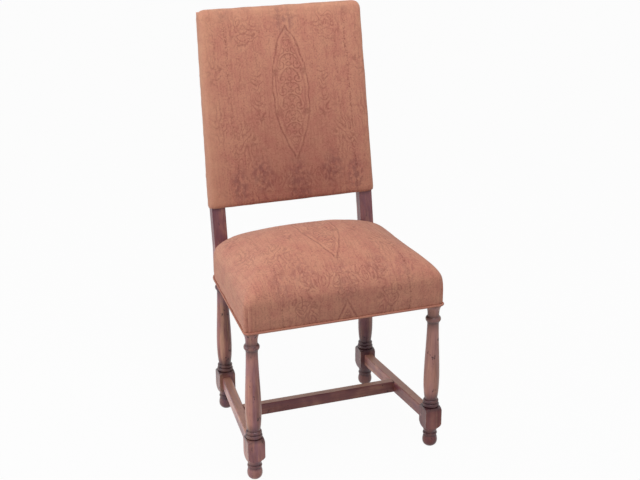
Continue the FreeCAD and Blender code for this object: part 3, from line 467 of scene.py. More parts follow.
def steel():
    """Blued steel of tacks and screws, dulled in patches."""
    paint = Paint("steel", 0.4)
    x, y, z = paint.place()
    patches = paint.noise(x * 240.0, y * 240.0, z * 240.0, 3.0)
    colour = paint.mix(patches.between(0.40, 0.65), srgb(98, 98, 102), srgb(70, 56, 48))
    paint.join(colour, "Base Color")
    paint.join((patches * 0.4 + 0.25).socket, "Roughness")
    paint.bump(patches, 0.0002, 0.4)
    paint.fixed(Metallic=0.9)
    return paint.material


# Rose damask; places on the cloth are in millimetres

ROSE = srgb(194, 127, 110)
ROSE_TAN = srgb(214, 158, 129)
ROSE_DEEP = srgb(122, 62, 58)
ROSE_PLUM = srgb(118, 72, 78)
ROSE_SHEEN = srgb(238, 222, 206)

REPEAT = 496.0
OVAL_MIDDLE = 305.0
OVAL_HALF_WIDTH = 53.0
OVAL_HALF_HEIGHT = 186.0
OVAL_ARC = (OVAL_HALF_WIDTH ** 2 + OVAL_HALF_HEIGHT ** 2) / (2 * OVAL_HALF_WIDTH)
OVAL_CENTRE = OVAL_ARC - OVAL_HALF_WIDTH
OVAL_BLOCKS = 56.0
# Across and along, where the back is painted lighter towards its sides and top: a painted sheen
PAINTED_SHEEN_SIDE = (190.0, 250.0)
PAINTED_SHEEN_TOP = (485.0, 545.0)

# Painted shade on the cloth: from and to along it where it darkens, and how far at its sides and in its
# middle
PAINTED_SHADE_BACK = (520.0, -60.0, 0.20, 0.44)
PAINTED_SHADE_SEAT = (80.0, -40.0, 0.04, 0.18)
PAINTED_SHADE_SIDES = (200.0, 40.0)

# How far the drawn figure wanders, and over what length
WANDER = 20.0
WANDER_LENGTH = 46.0

# Beaded stripes: place across, half width, strength
STRIPES = [(173.0, 3.2, 1.0), (139.0, 2.0, 0.7), (206.0, 2.2, 0.7)]

# Rows of scroll pairs and arches in the oval
ROW = 38.0
PAIR_ACROSS = 21.0
ARCH_DROP = 16.0
ARCH_RADIUS = 24.0
ARCH_PALE_RADIUS = 29.0

# Leafy clusters either side of the middle: place across and along, half width, half length
CLUSTERS = [
    (100.0, 68.0, 38.0, 36.0), (149.0, 172.0, 36.0, 64.0), (96.0, 262.0, 17.0, 44.0),
    (96.0, 341.0, 17.0, 42.0), (118.0, 480.0, 44.0, 54.0), (212.0, 375.0, 22.0, 40.0),
    (212.0, 235.0, 20.0, 60.0), (40.0, 66.0, 34.0, 30.0),
]
PLUM_CLUSTERS = [(104.0, 84.0, 32.0, 44.0), (0.0, 46.0, 32.0, 74.0), (170.0, 60.0, 24.0, 44.0)]
PLUM_ON_BACK = 0.56
PLUM_ON_SEAT = 0.26

# Scrolls in the clusters: place across and along, radius, pitch; and the flower below each oval
SCROLLS = [(100.0, 70.0, 24.0, 11.0), (120.0, 486.0, 24.0, 11.0), (158.0, 160.0, 18.0, 10.0)]
FLOWER_MIDDLE = 46.0


def repeated(v, place):
    """Distance along the cloth from the nearest repeat of a place."""
    return (v - place).wrapped(REPEAT / 2)


def clustered(side, v, clusters, soft):
    """1 inside the clusters, fading out at their edges."""
    reaches = [length((side - across) / half_width, repeated(v, along) / half_length)
               for across, along, half_width, half_length in clusters]
    return strongest([reach.below(1.0, soft) for reach in reaches])


def rosette(across, along, radius, petals, line):
    """Outline of a small flower about a point."""
    turn = along.math("ARCTAN2", across) * float(petals)
    edge = turn.math("COSINE") * (-0.22 * radius) + length(across, along) - radius
    return edge.band(line, 2 * line)


def volute(across, along, radius, pitch):
    """Spiral scroll about a point."""
    reach = length(across, along)
    turn = along.math("ARCTAN2", across) * (1 / (2 * math.pi))
    coil = abs((reach / pitch - turn).math("FRACT") - 0.5)
    return coil.between(0.26, 0.08) * reach.below(radius, 6.0)


def pointed_oval(side, along):
    """The medallion: its dark and its pale lines, and the distance from its outline.

    Inside the double outline are rows of scroll pairs and arches, with darker blocks at the sides."""
    oval = length(side + OVAL_CENTRE, along) - OVAL_ARC
    outline = oval.band(2.2, 2.6).most((oval + 12.0).band(1.3, 2.2) * 0.7)
    blocks = (oval + 10.0).band(9.0, 5.0) * (abs(along) - OVAL_BLOCKS).band(8.0, 6.0)
    row = along.wrapped(ROW / 2)
    between_rows = (along + ROW / 2).wrapped(ROW / 2)
    pairs = volute(side - PAIR_ACROSS, row, 14.0, 9.0).most(rosette(side, row, 5.0, 3, 1.8))
    arch = length(side, between_rows + ARCH_DROP)
    arches = (arch - ARCH_RADIUS).band(1.8, 2.2).most(rosette(side, between_rows, 7.5, 5, 1.7))
    inside = oval.below(-13.0, 4.0)
    dark = strongest([outline, blocks * 0.8, pairs.most(arches) * inside * 0.9])
    pale = (oval + 5.5).band(1.6, 2.2).most((arch - ARCH_PALE_RADIUS).band(1.6, 2.2) * inside)
    return dark, pale, oval


def damask_figure(paint, u, v):
    """Dark and pale strength of the woven figure: ovals, beaded stripes and clusters of leafy scrolls."""
    mirrored = abs(u)
    over = mirrored / WANDER_LENGTH, v / WANDER_LENGTH
    side = mirrored + (paint.noise(*over, 5.0, 2.0, 0.4) - 0.5) * WANDER
    v = v + (paint.noise(*over, 9.0, 2.0, 0.4) - 0.5) * WANDER
    medallion, highlights, oval = pointed_oval(side, repeated(v, OVAL_MIDDLE))

    dashes = paint.noise(side / 5.0, v / 7.0, 6.0, 1.0).between(0.44, 0.58)
    stripes = strongest([(side - across).band(half_width, 3.0) * dashes * strength
                         for across, half_width, strength in STRIPES])

    field = paint.noise(side / 26.0, v / 40.0, 0.0, 0.0, 0.4, 0.3)
    contour = abs((field * 5.0).math("FRACT") - 0.5)
    inside = clustered(side, v, CLUSTERS, 0.5)
    leaves = contour.between(0.22, 0.06) * inside
    highlights = highlights.most(contour.between(0.28, 0.44) * inside * 0.8)
    scrolls = strongest([volute(side - across, repeated(v, along), radius, pitch)
                         for across, along, radius, pitch in SCROLLS])

    above = repeated(v, FLOWER_MIDDLE)
    fan = length(side, above)
    ribs = abs((above.math("ARCTAN2", side) * 3.0).math("COSINE"))
    petals = (fan - ribs * 15.0 - 20.0).band(1.8, 2.4).most((fan - ribs * 9.0 - 9.0).band(1.5, 2.2))

    sprigs = paint.noise(side / 13.0, v / 17.0, 12.0, 1.0, 0.4, 0.6)
    sprigs = abs(sprigs - 0.5).between(0.05, 0.02) * 0.40 * oval.between(6.0, 14.0)

    figure = strongest([medallion, stripes, leaves * 0.8, scrolls * 0.6, petals * 0.8, sprigs])
    broken = paint.noise(u / 6.0, v / 7.0, 0.0, 2.0, 0.6).between(0.32, 0.58)
    worn = paint.noise(u / 48.0, v / 60.0, 7.0, 2.0).between(0.30, 0.60) * 0.35 + 0.65
    wear = (broken * 0.60 + 0.40) * worn
    return figure * wear, highlights * wear


def damask(name, figured=True, on_back=False):
    """Rose damask: a ribbed ground, a darker woven figure, mottled, with painted shade low on the back and
    down the seat front and painted sheen along the back's sides and top.
    """
    paint = Paint(name, specular=0.2)
    u, v = paint.cloth_place()
    ribs = paint.noise(u / 2.2, v / 46.0, 0.0, 3.0, 0.6)
    slubs = paint.noise(u / 5.5, v / 120.0, 3.0, 2.0, 0.6)
    specks = paint.noise(u / 4.2, v / 4.8, 1.0, 2.0, 0.65)
    mottle = paint.noise(u / 40.0, v / 52.0, 2.0, 4.0, 0.65)
    weave = (u * (math.pi / 1.2)).math("SINE") * (v * (math.pi / 1.2)).math("SINE")

    colour = paint.mix(mottle.between(0.34, 0.66) * 0.50, ROSE, ROSE_TAN)
    height = weave * 0.35 + ribs * 0.9 + slubs * 0.5
    if figured:
        figure, highlights = damask_figure(paint, u, v)
        blots = paint.noise(u / 11.0, v / 16.0, 8.0, 2.0).between(0.36, 0.62)
        plum = clustered(abs(u), v, PLUM_CLUSTERS, 1.0) * blots
        colour = paint.mix(plum * (PLUM_ON_BACK if on_back else PLUM_ON_SEAT), colour, ROSE_PLUM)
        colour = paint.mix(highlights * 0.38, colour, ROSE_TAN)
        colour = paint.mix(figure * 0.60, colour, ROSE_DEEP)
        height = height - figure * 0.9
    else:
        colour = paint.mix(slubs * 0.55, colour, ROSE_DEEP)
    colour = paint.mix(ribs.between(0.42, 0.68) * 0.22, colour, ROSE_TAN)
    colour = paint.mix(slubs.between(0.52, 0.30) * 0.16, colour, ROSE_DEEP)
    colour = paint.mix(specks.between(0.54, 0.70) * 0.34, colour, ROSE_DEEP)
    colour = paint.mix(specks.between(0.44, 0.28) * 0.45, colour, ROSE_TAN)
    if on_back:
        # Painted sheen: the back lighter and tan towards its sides and top
        painted_sheen = abs(u).between(*PAINTED_SHEEN_SIDE).most(v.between(*PAINTED_SHEEN_TOP))
        colour = paint.mix(painted_sheen * (mottle * 0.5 + 0.25), colour, ROSE_TAN)
    if figured:
        # Painted shade: the back darker towards its bottom and middle, the seat darker down its front
        start, end, at_sides, in_middle = PAINTED_SHADE_BACK if on_back else PAINTED_SHADE_SEAT
        dark = v.between(start, end) * (abs(u).between(*PAINTED_SHADE_SIDES) * (in_middle - at_sides) + at_sides)
        colour = paint.mix(dark, colour, ROSE_DEEP)
    paint.join(colour, "Base Color")
    paint.join((ribs * 0.15 + 0.74).socket, "Roughness")
    paint.bump(height, 0.0005, 0.6)
    paint.fixed(Sheen_Weight=0.28, Sheen_Roughness=0.5, Sheen_Tint=ROSE_SHEEN)
    return paint.material


# Mesh helpers

def new_piece(name, points, faces):
    mesh = bpy.data.meshes.new(name)
    mesh.from_pydata([tuple(point) for point in points], [], faces)
    mesh.validate()
    piece = bpy.data.objects.new(name, mesh)
    bpy.context.scene.collection.objects.link(piece)
    return piece


def face_outwards(piece):
    editor = bmesh.new()
    editor.from_mesh(piece.data)
    bmesh.ops.recalc_face_normals(editor, faces=editor.faces)
    editor.to_mesh(piece.data)
    editor.free()


def settle(piece):
    """Replaces a piece's mesh by what its modifiers make of it."""
    shaped = piece.evaluated_get(bpy.context.evaluated_depsgraph_get())
    mesh = bpy.data.meshes.new_from_object(shaped)
    piece.modifiers.clear()
    old = piece.data
    piece.data = mesh
    mesh.name = piece.name
    bpy.data.meshes.remove(old)


def shade_smooth(piece):
    for face in piece.data.polygons:
        face.use_smooth = True


def rounded_ring(corners, radii):
    """Plan points round an outline with rounded corners, as many on every such ring."""
    count = len(corners)
    arcs = []
    for i, corner in enumerate(corners):
        before = (corners[i - 1] - corner).normalized()
        after = (corners[(i + 1) % count] - corner).normalized()
        half = before.angle(after) / 2
        centre = corner + (before + after).normalized() * (radii[i] / math.sin(half))
        start = corner + before * (radii[i] / math.tan(half)) - centre
        end = corner + after * (radii[i] / math.tan(half)) - centre
        sweep = start.angle(end)
        arc = []
        for k in range(ARC_STEPS + 1):
            t = k / ARC_STEPS
            spoke = start * math.sin((1 - t) * sweep) + end * math.sin(t * sweep)
            arc.append(centre + spoke / math.sin(sweep))
        arcs.append(arc)
    points = []
    for i, arc in enumerate(arcs):
        points += arc
        following = arcs[(i + 1) % count][0]
        points += [arc[-1].lerp(following, k / SIDE_STEPS) for k in range(1, SIDE_STEPS)]
    return points


def stack_of_rings(name, rings):
    """Closed mesh through rings of equally many points, with flat ends."""
    count = len(rings[0])
    points = [point for ring in rings for point in ring]
    faces = []
    for r in range(len(rings) - 1):
        for k in range(count):
            after = (k + 1) % count
            faces.append((r * count + k, r * count + after, (r + 1) * count + after, (r + 1) * count + k))
    faces.append(tuple(range(count)))
    faces.append(tuple((len(rings) - 1) * count + k for k in range(count)))
    piece = new_piece(name, points, faces)
    face_outwards(piece)
    return piece


def remesh(piece, voxel, smoothing):
    remesher = piece.modifiers.new("remesh", "REMESH")
    remesher.mode = "VOXEL"
    remesher.voxel_size = voxel
    smoother = piece.modifiers.new("smooth", "SMOOTH")
    smoother.factor = 0.5
    smoother.iterations = smoothing
    settle(piece)


def inflate(piece, held, pressure, cap):
    """Fills a pad by a cloth simulation, by no less than it was shrunk and no more than the cap.

    held tells how firmly each point is nailed down, 0 to 1."""
    points = piece.data.vertices
    start = [vertex.co.copy() for vertex in points]
    outward = [vertex.normal.copy() for vertex in points]
    firm = [held(point) for point in start]
    moved = simulate(piece, firm, pressure)
    for vertex, first, last, normal, weight in zip(points, start, moved, outward, firm):
        least = PAD_SHRINK * (1 - weight)
        vertex.co = first + normal * min(max((last - first).dot(normal), least), cap)
    piece.data.update()


def simulate(piece, firm, pressure):
    """Places of a pad's points after it is blown up as cloth."""
    nailed = piece.vertex_groups.new(name="nailed")
    for index, weight in enumerate(firm):
        if weight > 0:
            nailed.add([index], weight, "REPLACE")
    cloth = piece.modifiers.new("cloth", "CLOTH")
    cloth.settings.quality = 5
    cloth.settings.mass = 0.3
    cloth.settings.tension_stiffness = 15
    cloth.settings.compression_stiffness = 15
    cloth.settings.shear_stiffness = 8
    cloth.settings.bending_stiffness = 1.0
    cloth.settings.use_pressure = True
    cloth.settings.uniform_pressure_force = pressure
    cloth.settings.vertex_group_mass = "nailed"
    cloth.settings.effector_weights.gravity = 0
    cloth.point_cache.frame_start = 1
    cloth.point_cache.frame_end = SIM_FRAMES
    scene = bpy.context.scene
    for number in range(1, SIM_FRAMES + 1):
        scene.frame_set(number)
    shaped = piece.evaluated_get(bpy.context.evaluated_depsgraph_get())
    moved = [vertex.co.copy() for vertex in shaped.data.vertices]
    piece.modifiers.clear()
    piece.vertex_groups.clear()
    scene.frame_set(1)
    return moved


def push(piece, shift):
    """Moves each point of a piece by what shift gives for it and its normal."""
    steps = [shift(vertex.co.copy(), vertex.normal.copy()) for vertex in piece.data.vertices]
    for vertex, step in zip(piece.data.vertices, steps):
        vertex.co += step
    piece.data.update()


def lay_cloth(piece, mapping):
    """Gives each face corner its place on the cloth, from its point and the face's normal."""
    mesh = piece.data
    layer = mesh.uv_layers.new(name=CLOTH_MAP)
    for face in mesh.polygons:
        for loop in face.loop_indices:
            point = mesh.vertices[mesh.loops[loop].vertex_index].co
            layer.data[loop].uv = mapping(point, face.normal)


def refine(piece):
    """Halves the size of a piece's faces and rounds them."""
    modifier = piece.modifiers.new("subdivision", "SUBSURF")
    modifier.levels = 1
    settle(piece)


def bell(distance, width):
    """Smooth bump of height 1 about zero."""
    return math.exp(-(distance / width) ** 2)


def ramp(distance, run):
    """Rise from 0 to 1 over a run."""
    return min(max(distance / run, 0.0), 1.0)


def padded_rise(inset, roll_run, roll_height, crown_run, crown_height):
    """Height of a pad above its edge, at an inset from the side: a round roll and a crown."""
    roll = min(inset / roll_run, 1.0)
    crown = min(inset / crown_run, 1.0)
    return roll_height * math.sqrt(1 - (1 - roll) ** 2) + crown_height * math.sin(math.pi / 2 * crown)


def padded_insets(roll_run, roll_steps, crown_run, crown_steps):
    """Insets of the rings over a pad, closer together on its roll."""
    insets = [roll_run * (1 - math.cos(math.pi / 2 * k / roll_steps)) for k in range(1, roll_steps + 1)]
    return insets + [roll_run + (crown_run - roll_run) * k / crown_steps for k in range(1, crown_steps + 1)]


# Seat

def seat_ring(inset, front_corner=SEAT_FRONT_CORNER):
    """Plan outline of the seat, drawn in all round by the inset."""
    front = inset - SEAT_OVERHANG
    rear = REAR_Y + SEAT_OVERHANG - inset
    near = SEAT_FRONT_HALF - (1 + SEAT_TAPER) * inset
    far = SEAT_REAR_HALF - (1 - SEAT_TAPER) * inset
    corners = [Vector((near, front)), Vector((far, rear)), Vector((-far, rear)), Vector((-near, front))]
    growth = SEAT_HIP_GROWTH * max(inset, 0.0)
    limit = SEAT_HIP_LIMIT * (SEAT_DEPTH / 2 - inset)
    front_radius = min(front_corner + growth, limit)
    rear_radius = min(SEAT_REAR_CORNER + growth, limit)
    return rounded_ring(corners, [front_radius, rear_radius, rear_radius, front_radius])


def seat_rings():
    """Rings of the seat up its sides and over its crown, a little smaller than the finished seat."""
    rings = []
    side_steps = 10
    for k in range(side_steps + 1):
        share = k / side_steps
        height = SEAT_BOTTOM + (SEAT_SIDE_HEIGHT - PAD_SHRINK) * share
        swell = SEAT_SIDE_SWELL * math.sin(math.pi * share)
        ring = seat_ring(PAD_SHRINK * ramp(share, SHRINK_SHARE) - swell)
        rings.append([placed(point.x, point.y, height) for point in ring])
    for inset in padded_insets(SEAT_ROLL_RUN, 8, SEAT_CROWN_RUN, 14):
        rise = padded_rise(inset, SEAT_ROLL_RUN, SEAT_ROLL_HEIGHT, SEAT_CROWN_RUN, SEAT_CROWN_HEIGHT)
        height = SEAT_EDGE - PAD_SHRINK + rise
        rings.append([placed(point.x, point.y, height) for point in seat_ring(inset + PAD_SHRINK)])
    return rings


def post_notch(side):
    """Cutter for the room of one rear post at the corner of the seat."""
    lean = math.tan(RAKE) * (NOTCH_TOP - BEND_Z)
    outline = [(NOTCH_Y, NOTCH_FOOT), (NOTCH_Y, BEND_Z), (NOTCH_Y + lean, NOTCH_TOP),
               (NOTCH_REAR, NOTCH_TOP), (NOTCH_REAR, NOTCH_FOOT)]
    rings = [[placed(side * x, y, z) for y, z in outline] for x in (NOTCH_X, NOTCH_SIDE)]
    return stack_of_rings("cutter", rings)


def cut_away(piece, cutters):
    """Takes the room of the cutters out of a piece, and removes them."""
    for cutter in cutters:
        modifier = piece.modifiers.new("cut", "BOOLEAN")
        modifier.operation = "DIFFERENCE"
        modifier.solver = "EXACT"
        modifier.object = cutter
    settle(piece)
    for cutter in cutters:
        bpy.data.objects.remove(cutter)


def seat_held(point):
    """The seat cover is nailed along its lower edge and round the rear posts."""
    low = 1.0 - ramp(point.z - SEAT_BOTTOM - SEAT_NAILED, SEAT_NAILED_FADE)
    x = abs(point.x) - (REAR_X - POST_HALF)
    y = point.y - AXIS_Y - (REAR_Y - TOP_HALF)
    near_post = 1.0 if x > -SEAT_NAILED_SIDE and y > -SEAT_NAILED_FRONT else 0.0
    return max(low, near_post)


def seat_pull(point, normal):
    """Fullness of the crown, unevenness, pulls along the tacked edge and a pleat at each front corner."""
    drawn = math.exp(-max(point.z - SEAT_BOTTOM, 0.0) / SEAT_PULL_REACH)
    around = Vector((point.x * 22.0, point.y * 22.0, 0.0))
    step = normal * (SEAT_PULL * drawn * (SEAT_PULL_LEAST + noise.noise(around)))
    lumps = noise.noise(point * 11.0) * SEAT_LUMPS
    lumps += noise.noise(point * 27.0 + Vector((3, 1, 7))) * SEAT_SMALL_LUMPS
    step += normal * lumps * (1 - drawn)
    y = point.y - AXIS_Y
    crown = bell(point.x, SEAT_PLUMP_WIDTH) * bell(y - SEAT_PLUMP_Y, SEAT_PLUMP_DEPTH)
    step += Vector((0.0, 0.0, SEAT_PLUMP * crown * max(normal.z, 0.0)))
    if y < 0.0:
        fade = 1.0 - ramp(point.z - SEAT_BOTTOM - PLEAT_RISE, PLEAT_FADE)
        beside = SEAT_FRONT_HALF - PLEAT_INSET - abs(point.x)
        front_face = max(-normal.y, 0.0)
        step -= normal * (PLEAT_DEPTH * bell(beside, PLEAT_WIDTH) * front_face * fade)
        step += normal * (FOLD_SHARE * PLEAT_DEPTH * bell(beside + FOLD_OFFSET, FOLD_WIDTH) * fade)
    return step


def seat_cloth(point, normal):
    """Place on the cloth: up the front, over the crown and down the other sides."""
    y = point.y - AXIS_Y + SEAT_OVERHANG
    drop = max(SEAT_EDGE + SEAT_ROLL_HEIGHT - point.z, 0.0)
    wall = SEAT_SIDE_HEIGHT + SEAT_ROLL_HEIGHT
    across = point.x
    along = wall + y
    if abs(normal.x) > max(abs(normal.y), STEEP):
        across += math.copysign(drop, point.x)
    elif normal.y < 0:
        along -= drop
    elif normal.y > STEEP:
        along += drop
    return across, SEAT_CLOTH_START + along


def make_seat():
    seat = stack_of_rings("seat_cushion", seat_rings())
    cut_away(seat, [post_notch(-1), post_notch(1)])
    remesh(seat, VOXEL, SEAT_SMOOTHING)
    inflate(seat, seat_held, SEAT_PRESSURE, SEAT_SWELL)
    refine(seat)
    push(seat, seat_pull)
    lay_cloth(seat, seat_cloth)
    shade_smooth(seat)
    seat.data.materials.clear()
    seat.data.materials.append(damask("seat_damask"))
    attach(seat, "root")
    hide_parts("seat_cover", "seat_padding")


def tube(name, routes, radius, sides):
    """Mesh tubes along open routes, with cloth coordinates round and along them."""
    points = []
    faces = []
    cloth = []
    for route in routes:
        first = len(points)
        run = 0.0
        for i, point in enumerate(route):
            ahead = route[min(i + 1, len(route) - 1)] - route[max(i - 1, 0)]
            ahead.normalize()
            across = ahead.cross(Vector((0, 0, 1))).normalized()
            up = across.cross(ahead)
            if i:
                run += (point - route[i - 1]).length
            for k in range(sides):
                turn = 2 * math.pi * k / sides
                points.append(point + (across * math.cos(turn) + up * math.sin(turn)) * radius)
                cloth.append((radius * turn + run * BIAS, run * BIAS - radius * turn))
        rows = len(route)
        for i in range(rows - 1):
            for k in range(sides):
                after = (k + 1) % sides
                low = first + i * sides
                faces.append((low + k, low + after, low + sides + after, low + sides + k))
        faces.append(tuple(first + k for k in range(sides)))
        faces.append(tuple(first + (rows - 1) * sides + k for k in range(sides)))
    piece = new_piece(name, points, faces)
    face_outwards(piece)
    layer = piece.data.uv_layers.new(name=CLOTH_MAP)
    for loop in piece.data.loops:
        layer.data[loop.index].uv = cloth[loop.vertex_index]
    shade_smooth(piece)
    return piece


def crossing(before, after, y):
    """The point between two where their line reaches a depth."""
    return before.lerp(after, (y - before.y) / (after.y - before.y))


def make_welt():
    """Covered cord round the lower edge of the seat, broken at the rear posts."""
    height = FRAME_BOTTOM + WELT_RADIUS
    ring = seat_ring(WELT_INSET, WELT_CORNER)
    count = len(ring)
    first = next(k for k in range(count) if ring[k - 1].y >= NOTCH_Y > ring[k].y)
    walk = ring[first:] + ring[:first]
    last = next(k for k in range(count) if walk[k].y >= NOTCH_Y)
    ends = crossing(walk[-1], walk[0], NOTCH_Y), crossing(walk[last - 1], walk[last], NOTCH_Y)
    around = [placed(p.x, p.y, height) for p in (ends[0], *walk[:last], ends[1])]
    rear_y = REAR_Y + SEAT_OVERHANG - WELT_INSET
    half_steps = 10
    behind = [placed(NOTCH_X * k / half_steps, rear_y, height) for k in range(-half_steps, half_steps + 1)]
    welt = tube("seat_piping", [around, behind], WELT_RADIUS, 12)
    welt.data.materials.append(damask("welt_damask", figured=False))
    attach(welt, "root")
    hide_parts("seat_welt")


# Back

def panel_ring(inset):
    """Outline of the back pad across and up, drawn in by the inset."""
    half = PANEL_HALF - inset
    low = PANEL_START + inset
    high = PANEL_START + PANEL_HEIGHT - inset
    upper = half - PANEL_TAPER
    corners = [Vector((half, low)), Vector((upper, high)), Vector((-upper, high)), Vector((-half, low))]
    top = PANEL_TOP_CORNER + PANEL_CORNER_GROWTH * inset
    bottom = PANEL_BOTTOM_CORNER + PANEL_CORNER_GROWTH * inset
    return rounded_ring(corners, [bottom, top, top, bottom])


def panel_rings():
    """Rings of the back pad from its rear edge to its front, a little smaller than the finished pad."""
    rings = []
    for depth in (PANEL_REAR, *PANEL_WALL, PANEL_EDGE + BACK_SHRINK):
        rings.append([raked(point.x, depth, point.y) for point in panel_ring(BACK_SHRINK)])
    for inset in padded_insets(PANEL_ROLL, 6, PANEL_CROWN_RUN, 12):
        rise = padded_rise(inset, PANEL_ROLL, PANEL_ROLL, PANEL_CROWN_RUN, PANEL_CROWN_HEIGHT)
        depth = PANEL_EDGE + BACK_SHRINK - rise
        rings.append([raked(point.x, depth, point.y) for point in panel_ring(inset + BACK_SHRINK)])
    return rings


def back_held(point):
    """The back cover is nailed along the rear of the frame and under its lower rail."""
    depth, rise = unraked(point)
    lower = 1.0 if rise < PANEL_START + BACK_NAILED_FOOT else 0.0
    return max(ramp(depth - BACK_NAILED, BACK_NAILED_FADE), lower)


def back_pull(point, normal):
    """Slight unevenness of the stuffing and pulls along the nailed edges."""
    rise = unraked(point)[1]
    edge = max(min(PANEL_HALF - abs(point.x), rise - PANEL_START, PANEL_START + PANEL_HEIGHT - rise), 0.0)
    lumps = noise.noise(point * 9.0) * BACK_LUMPS
    lumps += noise.noise(point * 24.0 + Vector((5, 2, 1))) * BACK_SMALL_LUMPS
    around = Vector((point.x * 26.0, rise * 26.0, 0.0))
    pulls = noise.noise(around) * BACK_PULL * math.exp(-edge / BACK_PULL_REACH)
    return normal * (lumps * ramp(edge, BACK_LUMPS_EDGE) + pulls)


def back_cloth(point, normal):
    """Place on the cloth: up the front and round the edges to the rear."""
    depth, rise = unraked(point)
    up = Vector((0.0, math.sin(RAKE), math.cos(RAKE)))
    across = point.x
    along = rise - PANEL_START
    behind = max(depth - PANEL_EDGE + PANEL_ROLL, 0.0)
    facing_up = normal.dot(up)
    if abs(normal.x) > max(abs(facing_up), STEEP):
        across += math.copysign(behind, point.x)
    elif abs(facing_up) > STEEP:
        along += math.copysign(behind, facing_up)
    drift = BACK_CLOTH_SHIFT + BACK_CLOTH_LEAN * (along - OVAL_MIDDLE / 1000)
    return across - drift, along


def make_back():
    back = stack_of_rings("back_pad", panel_rings())
    remesh(back, VOXEL, BACK_SMOOTHING)
    inflate(back, back_held, BACK_PRESSURE, BACK_SWELL)
    refine(back)
    push(back, back_pull)
    lay_cloth(back, back_cloth)
    shade_smooth(back)
    back.data.materials.clear()
    back.data.materials.append(damask("back_damask", on_back=True))
    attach(back, "root")
    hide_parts("back_cover", "back_padding")


def grid(name, columns, rows, at):
    """Sheet of quads whose points come from shares across and along."""
    points = [at(i / columns, j / rows) for j in range(rows + 1) for i in range(columns + 1)]
    faces = []
    for j in range(rows):
        for i in range(columns):
            low = j * (columns + 1) + i
            faces.append((low, low + 1, low + columns + 2, low + columns + 1))
    return new_piece(name, points, faces)


def outside_point(s, t):
    """Point of the cloth over the rear of the back, turned in along its edges and drawn slightly hollow."""
    low = PANEL_START + OUTSIDE_EDGE
    high = PANEL_START + PANEL_HEIGHT - OUTSIDE_EDGE
    rise = low + (PANEL_HEIGHT - 2 * OUTSIDE_EDGE) * t
    half = PANEL_HALF - PANEL_TAPER * t - OUTSIDE_EDGE
    x = half * (2 * s - 1)
    edge = min(half - abs(x), rise - low, high - rise)
    turned = OUTSIDE_TURN * (1 - math.exp(-edge / OUTSIDE_EDGE))
    hollow = OUTSIDE_HOLLOW * math.sin(math.pi * s) * math.sin(math.pi * t)
    pulls = OUTSIDE_PULL * noise.noise(Vector((x * 34.0, rise * 34.0, 2.0)))
    pulls *= math.exp(-edge / OUTSIDE_PULL_REACH)
    return raked(x, PANEL_REAR - OUTSIDE_SUNK + turned - hollow + pulls, rise)


def make_outside_back():
    cloth = grid("outside_back_cloth", 96, 108, outside_point)
    face_outwards(cloth)
    lay_cloth(cloth, lambda point, normal: (-point.x, unraked(point)[1] - PANEL_START))
    thickness = cloth.modifiers.new("thickness", "SOLIDIFY")
    thickness.thickness = OUTSIDE_THICKNESS
    thickness.offset = -1.0
    shade_smooth(cloth)
    cloth.data.materials.append(damask("outside_damask", on_back=True))
    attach(cloth, "root")
    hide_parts("outside_back_panel")


# Under the seat

def dust_point(s, t):
    """Point of the black cloth under the seat frame, sagging between the rails."""
    front = DUST_INSET - TOP_HALF
    rear = REAR_Y + DUST_REAR
    y = front + (rear - front) * t
    half = FRONT_X + TOP_HALF - DUST_INSET - (FRONT_X - REAR_X) / REAR_Y * y
    x = half * (2 * s - 1)
    inside = min(half - abs(x), y - front, rear - y)
    sag = DUST_SAG * math.sin(math.pi / 2 * ramp(inside - DUST_EDGE, DUST_SAG_RUN))
    return placed(x, y, FRAME_BOTTOM - DUST_GAP - sag)


def leg_cutter(x, y):
    """Round cutter for the cloth about the top of one leg."""
    sides = 32
    turns = [2 * math.pi * k / sides for k in range(sides)]
    rings = [[placed(x + LEG_HOLE * math.cos(turn), y + LEG_HOLE * math.sin(turn), z) for turn in turns]
             for z in LEG_HOLE_HEIGHTS]
    return stack_of_rings("cutter", rings)


def make_dust_cover():
    cloth = grid("dust_cloth", 72, 60, dust_point)
    thickness = cloth.modifiers.new("thickness", "SOLIDIFY")
    thickness.thickness = DUST_THICKNESS
    thickness.offset = 1.0
    settle(cloth)
    legs = [(FRONT_X, 0), (-FRONT_X, 0), (REAR_X, REAR_Y), (-REAR_X, REAR_Y)]
    cut_away(cloth, [leg_cutter(x, y) for x, y in legs])
    shade_smooth(cloth)
    cloth.data.materials.clear()
    cambric = plain_weave("black_cambric", srgb(58, 56, 58), srgb(24, 23, 25), 0.0024, 0.0003)
    cloth.data.materials.append(cambric)
    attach(cloth, "root")
    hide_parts("dust_cover")


# Finishes of the CAD pieces

def paint_nodes(material, names):
    for name in names:
        node = NODES[name]
        if not node.material_slots:
            node.data.materials.append(material)
        for slot in node.material_slots:
            slot.material = material


def pair(name):
    return [name + "_left", name + "_right"]


